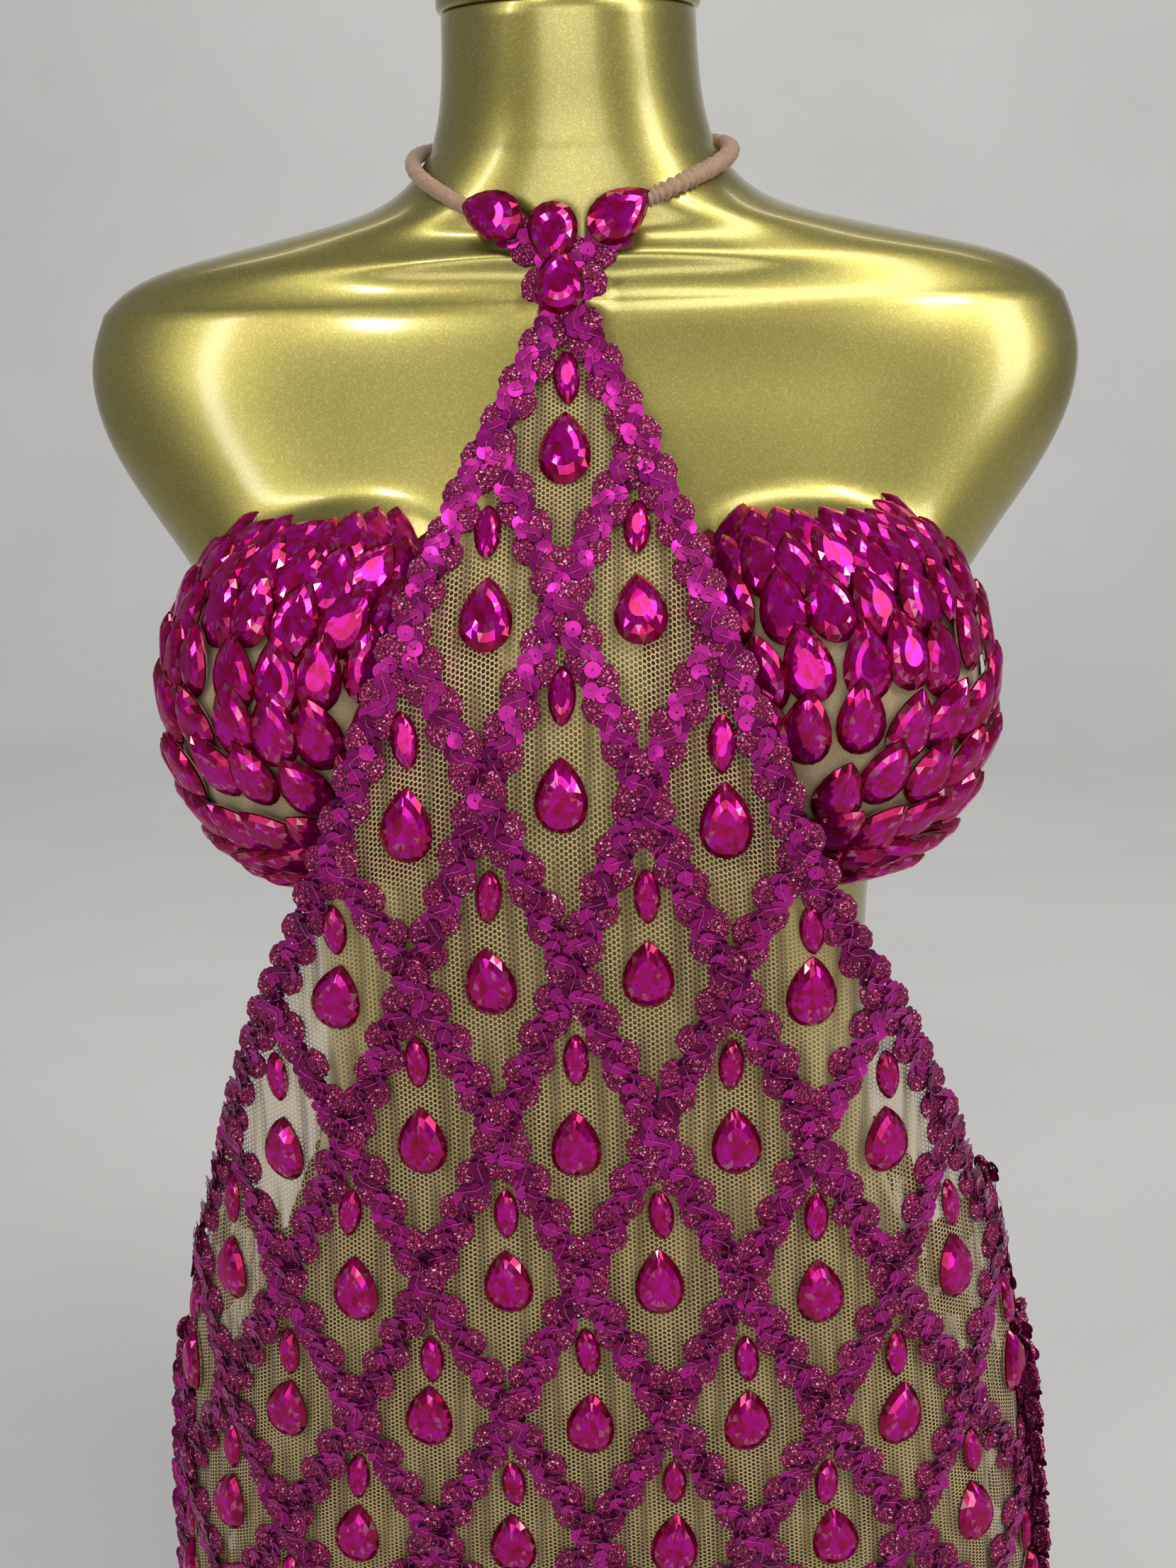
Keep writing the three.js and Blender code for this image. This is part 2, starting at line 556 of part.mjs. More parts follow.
/** One cup: a plain inside, and an outside set with rows of teardrop stones. */
function cup(side) {
  const shell = new Shell();
  const stepLon = (CUP.outer - CUP.inner) / CUP.columns;
  const stepLat = (CUP.top - CUP.bottom) / CUP.rows;
  const grid = (u, v, out) => shell.point(`${out ? 'out' : 'in'} ${u},${v}`, () => (
    cupPoint(side, CUP.inner + stepLon * u, CUP.bottom + stepLat * v, CUP.clear + (out ? CUP.wall : 0))));
  const partner = new Map();
  const outer = [];
  for (let u = 0; u < CUP.columns; u += 1) {
    for (let v = 0; v < CUP.rows; v += 1) {
      const square = [[u, v], [u, v + 1], [u + 1, v + 1], [u + 1, v]];
      const outs = square.map(([p, q]) => grid(p, q, true));
      const ins = square.map(([p, q]) => grid(p, q, false));
      outs.forEach((id, k) => partner.set(id, ins[k]));
      outer.push([outs[0], outs[1], outs[2]], [outs[0], outs[2], outs[3]]);
      const longitude = CUP.inner + stepLon * (u + 0.5);
      const latitude = CUP.bottom + stepLat * (v + 0.5);
      const middle = shell.point(`middle ${u},${v}`, () => cupPoint(side, longitude, latitude, CUP.clear));
      ins.forEach((id, k) => shell.face(ins[(k + 1) % 4], id, middle));
      const across = THREE.MathUtils.degToRad(stepLon) * BUST.rx * Math.cos(THREE.MathUtils.degToRad(latitude));
      const up = THREE.MathUtils.degToRad(stepLat) * BUST.rz;
      const stone = { width: Math.min(DROP.width, across * 0.9), length: Math.min(DROP.length, up * 0.92) };
      const place = (x, y, lift) => cupPoint(side, longitude + x / across * stepLon, latitude + y / up * stepLat,
        CUP.clear + CUP.wall + lift);
      const flats = [[-across, -up], [-across, up], [across, up], [across, -up]];
      const corners = flats.map(([x, y], k) => ({ flat: [x / 2, y / 2], id: outs[k] }));
      stonedField(shell, `cell ${u},${v}`, corners, place, [
        { at: [0, 0], outline: stoneOutline(stone, 1), height: DROP.height * 0.9 }]);
    }
  }
  shell.closeEdges(outer, partner);
  return shell.geometry();
}

/** Plain band round the back, from the outer edge of one cup to that of the other. */
function braBand() {
  const shell = new Shell();
  const levels = [BAND.low, BAND.middle, BAND.high];
  const grid = (k, v, out) => shell.point(`${out ? 'out' : 'in'} ${k},${v}`, () => {
    const latitude = THREE.MathUtils.radToDeg(Math.asin((levels[v] - BUST.z) / BUST.rz));
    const edge = cupPoint(1, CUP.outer, latitude, 0);
    const start = Math.atan2(edge.x, -edge.y) + 0.0045;
    const angle = start + (2 * Math.PI - 2 * start) * k / BAND.steps;
    const r = stretchedRadius(angle, levels[v], 40) + BAND.clear + (out ? BAND.wall : 0);
    return new THREE.Vector3(r * Math.sin(angle), -r * Math.cos(angle), levels[v]);
  });
  const partner = new Map();
  const outer = [];
  for (let k = 0; k < BAND.steps; k += 1) {
    for (let v = 0; v < 2; v += 1) {
      const square = [[k, v], [k + 1, v], [k + 1, v + 1], [k, v + 1]];
      const outs = square.map(([p, q]) => grid(p, q, true));
      const ins = square.map(([p, q]) => grid(p, q, false));
      outs.forEach((id, m) => partner.set(id, ins[m]));
      outer.push([outs[0], outs[1], outs[2]], [outs[0], outs[2], outs[3]]);
      shell.face(...outs);
      shell.face(ins[0], ins[3], ins[2], ins[1]);
    }
  }
  shell.closeEdges(outer, partner);
  return shell.geometry();
}

// The padded tube round the neck: angle from centre front in degrees, and the height where it lies
const NECK_PATH = [
  { angle: -52, z: 723 },
  { angle: -90, z: 741 },
  { angle: -135, z: 750 },
  { angle: -180, z: 753 },
  { angle: -225, z: 750 },
  { angle: -270, z: 741 },
  { angle: -318, z: 724 },
].map(({ angle, z }) => ({ turn: -angle, z }));

/** Direction square to the torso form at an angle and height. */
function formNormal(angle, z) {
  const along = formPoint(angle + 0.01, z).sub(formPoint(angle - 0.01, z));
  const up = formPoint(angle, z + 1).sub(formPoint(angle, z - 1));
  return along.cross(up).normalize();
}

/** Tube that lies on the neck, open at the front. */
function neckStrap() {
  const radius = CORD_DIAMETER / 2;
  const steps = 34;
  const sides = 10;
  const first = NECK_PATH[0].turn;
  const last = NECK_PATH[NECK_PATH.length - 1].turn;
  const centre = (t) => {
    const turn = first + (last - first) * t;
    const z = lookUp(NECK_PATH, 'turn', 'z', turn);
    const angle = -THREE.MathUtils.degToRad(turn);
    const out = formNormal(angle, z);
    return { point: formPoint(angle, z).addScaledVector(out, radius + 0.9), out };
  };
  return ringBody(Array.from({ length: steps + 1 }, (_, k) => {
    const { point, out } = centre(k / steps);
    const along = centre((k + 0.1) / steps).point.sub(centre((k - 0.1) / steps).point).normalize();
    const up = out.clone().cross(along).normalize();
    const side = along.clone().cross(up).normalize();
    return Array.from({ length: sides }, (__, m) => {
      const turn = 2 * Math.PI * m / sides;
      return point.clone().addScaledVector(side, radius * Math.cos(turn)).addScaledVector(up, radius * Math.sin(turn));
    });
  }));
}

// The halter's knot of braid and stones, between the tube's ends and the dress's point: outline seen from the front
const KNOT = { thick: 2.6, clear: 2.3, top: 724, foot: 700, stand: 8.5 };   // stand: how far its foot is off the chest
const KNOT_OUTLINE = [[0, 700], [-7, 703], [-12, 706], [-24, 710], [-38, 717], [-34, 729], [-24, 730], [-14, 730],
  [-5, 730], [4, 730], [12, 730], [20, 730], [29, 729], [32, 717], [21, 710], [12, 706], [7, 703]];
const KNOT_STONES = [
  { x: -25, z: 720, turn: 72, width: 11, length: 17 },
  { x: 18, z: 718, turn: -50, width: 12, length: 18 },
  { x: -4, z: 719, turn: 180, width: 10, length: 12 },
  { x: 0, z: 707, turn: 0, width: 9, length: 9 },
];

/** The knot: a plain-backed plate bowed round the throat, with four stones raised on it. */
function neckKnot() {
  const shell = new Shell();
  const place = (x, z, lift) => {
    let angle = Math.atan2(x, 50);
    for (let k = 0; k < 8; k += 1) angle = Math.atan2(x, -formPoint(angle, z).y);
    const share = Math.max(0, (KNOT.top - z) / (KNOT.top - KNOT.foot));
    const on = formPoint(angle, z, KNOT.clear).add(new THREE.Vector3(0, -KNOT.stand * share, 0));
    return on.add(new THREE.Vector3(Math.sin(angle), -Math.cos(angle), 0.1).normalize().multiplyScalar(lift));
  };
  const count = KNOT_OUTLINE.length;
  const outs = KNOT_OUTLINE.map(([x, z], k) => shell.point(`out ${k}`, () => place(x, z, KNOT.thick)));
  const ins = KNOT_OUTLINE.map(([x, z], k) => shell.point(`in ${k}`, () => place(x, z, 0)));
  const corners = KNOT_OUTLINE.map((flat, k) => ({ flat, id: outs[k] }));
  const stones = KNOT_STONES.map(({ x, z, turn, width, length }) => {
    const angle = THREE.MathUtils.degToRad(turn);
    const outline = stoneOutline({ width, length }, 1).map(([u, v]) => [
      u * Math.cos(angle) - v * Math.sin(angle), u * Math.sin(angle) + v * Math.cos(angle)]);
    return { at: [x, z], outline, height: DROP.height };
  });
  stonedField(shell, 'knot', corners, place, stones);
  const flat = KNOT_OUTLINE.map(([x, z]) => new THREE.Vector2(x, z));
  fillFlat(flat, []).forEach(([p, q, r]) => shell.face(ins[r], ins[q], ins[p]));
  for (let k = 0; k < count; k += 1) {
    const next = (k + 1) % count;
    shell.face(outs[next], outs[k], ins[k], ins[next]);
  }
  return shell.geometry();
}

const group = new THREE.Group();
group.name = 'sequin_two_piece';

/** Adds one named piece to the part. */
function addPiece(name, geometry, finish) {
  const mesh = new THREE.Mesh(geometry, new THREE.MeshStandardMaterial(finish));
  mesh.name = name;
  group.add(mesh);
}

addPiece('dress_form', torsoForm(), GOLD);
addPiece('neck_cap', neckCap(), GOLD);
addPiece('front_panel', clothPanel(FRONT_CELLS, frontLayout, false), TULLE);
addPiece('back_panel', clothPanel(BACK_CELLS, backLayout, true), TULLE);
addPiece('braid_front', braidLattice(frontLayout, false), MAGENTA);
addPiece('braid_back', braidLattice(backLayout, true), MAGENTA);
addPiece('neck_strap', neckStrap(), TULLE);
addPiece('neck_knot', neckKnot(), MAGENTA);
addPiece('cup_right', cup(1), MAGENTA);
addPiece('cup_left', cup(-1), MAGENTA);
addPiece('bra_band', braBand(), TULLE);

export default group;
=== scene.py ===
"""Looks of a stage outfit of two pieces on a gold torso form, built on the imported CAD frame.

Lengths of the outfit and the form are in millimetres, as in the part's source, and meshes are made in
metres. The studio is in metres and degrees. The dress follows lattice coordinates: a row counts diamonds
down the front and a column counts them round it.
"""

from __future__ import annotations

import logging
import math
from dataclasses import dataclass, field
from enum import Enum
from typing import Iterable, Sequence

import bpy
import numpy as np
from mathutils import Matrix, Vector

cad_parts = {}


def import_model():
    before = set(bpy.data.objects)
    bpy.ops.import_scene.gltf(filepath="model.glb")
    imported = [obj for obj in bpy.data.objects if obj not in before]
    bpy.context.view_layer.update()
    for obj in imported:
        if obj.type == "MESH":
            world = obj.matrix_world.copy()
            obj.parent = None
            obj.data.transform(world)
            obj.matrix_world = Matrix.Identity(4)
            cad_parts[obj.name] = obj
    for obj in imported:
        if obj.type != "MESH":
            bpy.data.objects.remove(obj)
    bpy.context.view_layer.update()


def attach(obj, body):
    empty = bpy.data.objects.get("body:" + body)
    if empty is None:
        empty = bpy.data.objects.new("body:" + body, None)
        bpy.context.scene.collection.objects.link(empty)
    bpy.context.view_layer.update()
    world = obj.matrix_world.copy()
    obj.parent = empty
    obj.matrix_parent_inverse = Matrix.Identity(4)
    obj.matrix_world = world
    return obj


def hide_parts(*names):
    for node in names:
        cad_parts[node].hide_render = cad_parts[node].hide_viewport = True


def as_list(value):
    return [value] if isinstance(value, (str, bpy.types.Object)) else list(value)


LOG = logging.getLogger("outfit")
MM = 0.001
BODY = "root"
Array = np.ndarray
Colour = tuple[float, float, float, float]
Material = bpy.types.Material
Node = bpy.types.Node
Object = bpy.types.Object
Socket = bpy.types.NodeSocket
Tree = bpy.types.NodeTree


def named_rows(names: str, *rows: Sequence[float]) -> list[dict[str, float]]:
    """A table whose columns are named in one string."""
    return [dict(zip(names.split(), row)) for row in rows]


def smooth_lookup(table: Sequence[dict[str, float]], key: str, name: str, at: Array) -> Array:
    """Smooth values of one column of a table.

    Args:
        table: Rows with named columns, sorted by the key column.
        key: The column that is looked up.
        name: The column that gives the values.
        at: Where the values are wanted. Beyond the table's ends the end values hold.

    Returns:
        One value for each place.
    """
    keys = np.array([row[key] for row in table], float)
    values = np.array([row[name] for row in table], float)
    low = np.maximum(np.arange(len(keys)) - 1, 0)
    high = np.minimum(np.arange(len(keys)) + 1, len(keys) - 1)
    slopes = (values[high] - values[low]) / (keys[high] - keys[low])
    held = np.clip(np.asarray(at, float), keys[0], keys[-1])
    k = np.clip(np.searchsorted(keys, held, side="right") - 1, 0, len(keys) - 2)
    span = keys[k + 1] - keys[k]
    t = (held - keys[k]) / span
    return (
        (2 * t**3 - 3 * t**2 + 1) * values[k]
        + (t**3 - 2 * t**2 + t) * span * slopes[k]
        + (3 * t**2 - 2 * t**3) * values[k + 1]
        + (t**3 - t**2) * span * slopes[k + 1]
    )


def unit(vectors: Array) -> Array:
    """Vectors of length one, along the last axis."""
    return vectors / np.maximum(np.linalg.norm(vectors, axis=-1, keepdims=True), 1e-9)


def square_to(vectors: Array, normals: Array) -> Array:
    """The part of each vector that stands square to its normal, at length one."""
    return unit(vectors - normals * np.sum(vectors * normals, axis=-1, keepdims=True))


def axes_on(normals: Array, forward: Array) -> Array:
    """Three axes for each normal: forward made square to it, across, and the normal."""
    ahead = square_to(forward, normals)
    return np.stack([ahead, np.cross(normals, ahead), normals], axis=1)


def turned(direction: Sequence[float], axis: Array, angle: float) -> Array:
    """A direction turned round an axis, by an angle in radians."""
    return np.array(Matrix.Rotation(angle, 3, Vector(axis)) @ Vector(direction))


def even_turn(count: int) -> Array:
    """Angles at even steps round a full turn."""
    return 2 * math.pi * np.arange(count) / count


def around(radius: Array, angle: Array, z: Array) -> Array:
    """Points round the upright axis. Angle 0 is the front, and +X is at a quarter turn."""
    return np.stack([radius * np.sin(angle), -radius * np.cos(angle), z], axis=-1)


def running_length(line: Array) -> Array:
    """Length along a line up to each of its points."""
    return np.concatenate([[0.0], np.cumsum(np.linalg.norm(np.diff(line, axis=0), axis=-1))])


def rings_round(line: Array, lead: Array, sides: int, radius: object) -> Array:
    """Rings of points round a line.

    Args:
        line: Points of the line.
        lead: Directions off the line that fix where each ring starts.
        sides: Points in a ring.
        radius: One radius, or an array that fits the rings.

    Returns:
        The points, one ring after another.
    """
    ahead = unit(np.gradient(line, axis=0))
    up = unit(np.cross(ahead, lead))
    turn = even_turn(sides)[None, :, None]
    ring = up[:, None] * np.cos(turn) + np.cross(ahead, up)[:, None] * np.sin(turn)
    return (line[:, None] + radius * ring).reshape(-1, 3)


def grid_faces(rows: int, columns: int, closed: bool = False) -> Array:
    """Quads of a grid of points numbered row by row.

    Args:
        rows: How many rows of points.
        columns: How many points in a row.
        closed: Whether the last column joins the first.

    Returns:
        Four corner numbers for each face.
    """
    across = columns if closed else columns - 1
    i, j = np.meshgrid(np.arange(rows - 1), np.arange(across), indexing="ij")
    i, j = i.ravel(), j.ravel()
    n = (j + 1) % columns
    return np.stack([i * columns + j, i * columns + n, (i + 1) * columns + n, (i + 1) * columns + j], axis=1)


def tube_faces(rows: int, columns: int, turned_over: bool = False) -> list[list[int]]:
    """Faces of a closed grid whose first and last rows are filled.

    Args:
        rows: How many rows of points.
        columns: How many points in a row.
        turned_over: Whether the two end faces are turned over.

    Returns:
        Corner numbers of each face.
    """
    first, last = list(range(columns)), list(range((rows - 1) * columns, rows * columns))
    ends = [first, last[::-1]] if turned_over else [first[::-1], last]
    return grid_faces(rows, columns, closed=True).tolist() + ends


def new_object(name: str, points: Array, faces: Iterable[Sequence[int]], smooth: bool = True) -> Object:
    """A mesh object from points in millimetres.

    Args:
        name: The object's name.
        points: Points, one row each.
        faces: Corner numbers of each face.
        smooth: Whether its faces are shaded smooth.

    Returns:
        The new object, linked to the scene.
    """
    mesh = bpy.data.meshes.new(name)
    face_list = faces.tolist() if isinstance(faces, Array) else [list(face) for face in faces]
    mesh.from_pydata((np.asarray(points) * MM).tolist(), [], face_list)
    mesh.polygons.foreach_set("use_smooth", [smooth] * len(mesh.polygons))
    mesh.update()
    made = bpy.data.objects.new(name, mesh)
    bpy.context.scene.collection.objects.link(made)
    return made


def keep_value(made: Object, name: str, values: Sequence[float], domain: str = "FACE") -> None:
    """Keeps one number for each face or point of a mesh, for its material to read."""
    store = made.data.attributes.new(name, "FLOAT", domain)
    store.data.foreach_set("value", np.asarray(values, np.float32))


def keep_flat_map(made: Object, flat: Array) -> None:
    """Gives a mesh a flat map.

    Args:
        made: The object.
        flat: Two numbers for each of its points.
    """
    layer = made.data.uv_layers.new(name="flat")
    corner = np.empty(len(made.data.loops), np.int32)
    made.data.loops.foreach_get("vertex_index", corner)
    layer.data.foreach_set("uv", flat[corner].astype(np.float32).ravel())


def settle(made: Object, finish: Material, node: str, stands_in: bool = False) -> Object:
    """Gives a piece its finish, makes it ride on the body and hides the CAD node that it stands for.

    Args:
        made: The piece.
        finish: Its material.
        node: The CAD node, hidden if the piece stands for it.
        stands_in: Whether the piece stands for that node.

    Returns:
        The same piece.
    """
    made.data.materials.append(finish)
    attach(made, BODY)
    if stands_in:
        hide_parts(node)
    LOG.info("%s: %d faces", made.name, len(made.data.polygons))
    return made


@dataclass
class Copies:
    """Many placed copies of one small shape, joined in one mesh."""

    points: list[Array] = field(default_factory=list)
    faces: list[Array] = field(default_factory=list)
    tones: list[Array] = field(default_factory=list)
    count: int = 0

    def add(self, shape: Array, faces: Array, origins: Array, axes: Array, tones: Array) -> None:
        """Places the shape once for each origin.

        Args:
            shape: The shape's own points.
            faces: Its faces.
            origins: One origin a copy.
            axes: For each copy its three axes as rows.
            tones: One number a copy, spread to its faces.
        """
        placed = np.einsum("vk,nkc->nvc", shape, axes) + origins[:, None, :]
        shift = self.count + np.arange(len(origins))[:, None, None] * len(shape)
        self.points.append(placed.reshape(-1, 3))
        self.faces.append((faces[None] + shift).reshape(-1, faces.shape[1]))
        self.tones.append(np.repeat(tones, len(faces)))
        self.count += len(origins) * len(shape)

    def build(self, name: str) -> Object:
        """Joins the copies in one object, with each copy's number kept as its tone.

        Args:
            name: The object's name.

        Returns:
            The object.
        """
        made = new_object(name, np.concatenate(self.points), np.concatenate(self.faces))
        keep_value(made, "tone", np.concatenate(self.tones))
        return made


# Node groups

class Kind(Enum):
    """Kinds of socket in a node group."""

    NUMBER = "NodeSocketFloat"
    COLOUR = "NodeSocketColor"
    PLACE = "NodeSocketVector"


@dataclass
class Recipe:
    """A node tree under construction, with short ways to add and join its nodes."""

    tree: Tree

    def node(self, kind: str, feeds: dict[object, object] | None = None, **values: object) -> Node:
        """A new node.

        Args:
            kind: The node's type.
            feeds: What its inputs get, by name or number.
            values: Its properties by name.

        Returns:
            The node.
        """
        made = self.tree.nodes.new(kind)
        for name, value in values.items():
            setattr(made, name, value)
        for title, source in (feeds or {}).items():
            self.join(source, made.inputs[title])
        return made

    def join(self, source: object, target: Socket) -> None:
        """Joins an output to an input, or sets the input where the source is a plain value.

        Args:
            source: An output, a number or a colour.
            target: The input.
        """
        if isinstance(source, Socket):
            self.tree.links.new(source, target)
        else:
            target.default_value = source

    def math(self, operation: str, first: object, second: object = 0.0, clamp: bool = False) -> Socket:
        """Result of one sum on two numbers."""
        feeds = {0: first, 1: second}
        return self.node("ShaderNodeMath", feeds, operation=operation, use_clamp=clamp).outputs[0]

    def mix(self, share: object, first: object, second: object) -> Socket:
        """Colour between two colours."""
        feeds = {"Factor": share, "A": first, "B": second}
        return self.node("ShaderNodeMix", feeds, data_type="RGBA").outputs["Result"]

    def stretch(self, value: object, low: float, high: float, to_low: float, to_high: float) -> Socket:
        """A number moved from one range to another, held at the ends."""
        feeds = dict(enumerate((value, low, high, to_low, to_high)))
        return self.node("ShaderNodeMapRange", feeds).outputs[0]

    def noise(self, place: object, scale: float, detail: float = 2.0) -> Socket:
        """Soft noise."""
        feeds = {"Vector": place, "Scale": scale, "Detail": detail}
        return self.node("ShaderNodeTexNoise", feeds).outputs["Fac"]

    def kept(self, name: str) -> Socket:
        """A number that the mesh keeps for each face or point."""
        return self.node("ShaderNodeAttribute", attribute_name=name).outputs["Fac"]

    def place(self) -> Socket:
        """The object's own coordinates, in metres."""
        return self.node("ShaderNodeTexCoord").outputs["Object"]

    def effect(self, tree: Tree, **feeds: object) -> Node:
        """Places a shared effect and feeds its inputs by name."""
        return self.node("ShaderNodeGroup", feeds, node_tree=tree)


def new_group(name: str, inputs: dict[str, tuple[Kind, object]],
              outputs: dict[str, Kind]) -> tuple[Recipe, dict, dict]:
    """Starts a shader node group.

    Args:
        name: The group's name.
        inputs: Kind and default of each input.
        outputs: Kind of each output.

    Returns:
        The recipe, the inner ends of its inputs by name, and of its outputs.
    """
    tree = bpy.data.node_groups.new(name, "ShaderNodeTree")
    for title, (kind, default) in inputs.items():
        made = tree.interface.new_socket(title, in_out="INPUT", socket_type=kind.value)
        if default is not None:
            made.default_value = default
    for title, kind in outputs.items():
        tree.interface.new_socket(title, in_out="OUTPUT", socket_type=kind.value)
    start = tree.nodes.new("NodeGroupInput")
    end = tree.nodes.new("NodeGroupOutput")
    return (
        Recipe(tree),
        {title: start.outputs[title] for title in inputs},
        {title: end.inputs[title] for title in outputs},
    )


class EffectGroups:
    """Effects that several materials share."""

    def __init__(self) -> None:
        """Builds each group once."""
        self.sparkle = self._sparkle()
        self.net = self._net()
        self.yarn = self._yarn()

    @staticmethod
    def _sparkle() -> Tree:
        """Fine flakes that catch the light, as in pearl lacquer and glitter yarn.

        Returns:
            The group.
        """
        recipe, ins, outs = new_group(
            "fine sparkle",
            {"Place": (Kind.PLACE, None), "Grain": (Kind.NUMBER, 900.0), "Share": (Kind.NUMBER, 0.3),
             "Body": (Kind.COLOUR, None), "Flake": (Kind.COLOUR, None)},
            {"Colour": Kind.COLOUR, "Height": Kind.NUMBER},
        )
        cells = recipe.node("ShaderNodeTexVoronoi", {"Vector": ins["Place"], "Scale": ins["Grain"]},
                            feature="F1")
        parts = recipe.node("ShaderNodeSeparateColor", {0: cells.outputs["Color"]})
        lit = recipe.math("GREATER_THAN", parts.outputs[0], recipe.math("SUBTRACT", 1.0, ins["Share"]))
        recipe.join(recipe.mix(lit, ins["Body"], ins["Flake"]), outs["Colour"])
        recipe.join(parts.outputs[1], outs["Height"])
        return recipe.tree

    @staticmethod
    def _net() -> Tree:
        """Six-sided net on a flat map in metres: its threads, and the share of a spot that is covered.

        Returns:
            The group.
        """
        recipe, ins, outs = new_group(
            "six-sided net",
            {"Flat": (Kind.PLACE, None), "Cell": (Kind.NUMBER, 0.0017), "Thread": (Kind.NUMBER, 0.3),
             "Gather": (Kind.NUMBER, 0.0)},
            {"Cover": Kind.NUMBER, "Lines": Kind.NUMBER},
        )
        parts = recipe.node("ShaderNodeSeparateXYZ", {0: ins["Flat"]})
        turn = recipe.math("DIVIDE", 2 * math.pi * 2 / math.sqrt(3), ins["Cell"])
        waves = []
        for heading in (0.0, 120.0, 240.0):
            angle = math.radians(heading)
            along = recipe.math("ADD", recipe.math("MULTIPLY", parts.outputs[0], math.cos(angle)),
                                recipe.math("MULTIPLY", parts.outputs[1], math.sin(angle)))
            waves.append(recipe.math("COSINE", recipe.math("MULTIPLY", along, turn)))
        total = recipe.math("ADD", recipe.math("ADD", waves[0], waves[1]), waves[2])
        edge = recipe.math("ADD", recipe.math("MULTIPLY", ins["Thread"], 2.4), -1.3)
        lines = recipe.math("LESS_THAN", total, edge)
        recipe.join(recipe.math("ADD", lines, ins["Gather"], clamp=True), outs["Cover"])
        recipe.join(lines, outs["Lines"])
        return recipe.tree

    @staticmethod
    def _yarn() -> Tree:
        """Knotted metallic yarn: strands with painted shade in the dark gaps between them, and a height for
        their bump.

        Returns:
            The group.
        """
        recipe, ins, outs = new_group(
            "knotted yarn",
            {"Place": (Kind.PLACE, None), "Knots": (Kind.NUMBER, 520.0), "Dark": (Kind.COLOUR, None),
             "Bright": (Kind.COLOUR, None)},
            {"Colour": Kind.COLOUR, "Height": Kind.NUMBER},
        )
        cells = recipe.node("ShaderNodeTexVoronoi", {"Vector": ins["Place"], "Scale": ins["Knots"]},
                            feature="DISTANCE_TO_EDGE")
        rise = recipe.stretch(cells.outputs["Distance"], 0.02, 0.22, 0.0, 1.0)
        speck = recipe.stretch(recipe.noise(ins["Place"], 1600.0, 1.0), 0.35, 0.65, 0.25, 1.0)
        # low towards the cells' edges, where the gaps between strands are painted dark as shade; the specks
        # vary it at random
        lively = recipe.math("MULTIPLY", rise, speck)
        recipe.join(recipe.mix(lively, ins["Dark"], ins["Bright"]), outs["Colour"])
        recipe.join(rise, outs["Height"])
        return recipe.tree


@dataclass(frozen=True)
class Finish:
    """What all finishes share: a name and the plain values of the shader."""

    name: str
    roughness: float = 0.5
    metallic: float = 0.0

    def start(self, **plain: object) -> tuple[Material, Recipe, Node]:
        """A new material with its shader's plain values set.

        Args:
            plain: More plain values, by the socket's name with underscores for its spaces.

        Returns:
            The material, its recipe and its shader.
        """
        made = bpy.data.materials.new(self.name)
        made.use_nodes = True
        shader = made.node_tree.nodes["Principled BSDF"]
        for title, value in {"Roughness": self.roughness, "Metallic": self.metallic, **plain}.items():
            shader.inputs[title.replace("_", " ")].default_value = value
        return made, Recipe(made.node_tree), shader

    @staticmethod
    def bump(recipe: Recipe, shader: Node, height: object, strength: float, depth: float) -> None:
        """Feeds a height to the shader's normal.

        Args:
            recipe: The material's recipe.
            shader: Its shader.
            height: The height, from 0 to 1.
            strength: The share of the bump that shows.
            depth: The bump's depth in metres.
        """
        made = recipe.node("ShaderNodeBump", {"Strength": strength, "Distance": depth, "Height": height})
        recipe.join(made.outputs["Normal"], shader.inputs["Normal"])


@dataclass(frozen=True)
class PearlLacquer(Finish):
    """Olive-gold pearl lacquer with a clear coat."""

    deep: Colour = (0.34, 0.29, 0.075, 1)
    flake: Colour = (0.46, 0.4, 0.125, 1)
    cloudy: Colour = (0.3, 0.25, 0.055, 1)

    def make(self, groups: EffectGroups) -> Material:
        """Builds the lacquer from the shared groups.

        Args:
            groups: The shared effects.

        Returns:
            The material.
        """
        made, recipe, shader = self.start(Coat_Weight=0.7, Coat_Roughness=0.13)
        place = recipe.place()
        sparkle = recipe.effect(groups.sparkle, Place=place, Grain=2600.0, Share=0.2, Body=self.deep,
                                Flake=self.flake)
        cloud = recipe.stretch(recipe.noise(place, 6.0, 3.0), 0.3, 0.7, 0.85, 1.0)
        recipe.join(recipe.mix(cloud, self.cloudy, sparkle.outputs["Colour"]), shader.inputs["Base Color"])
        self.bump(recipe, shader, sparkle.outputs["Height"], 0.12, 0.00015)
        return made


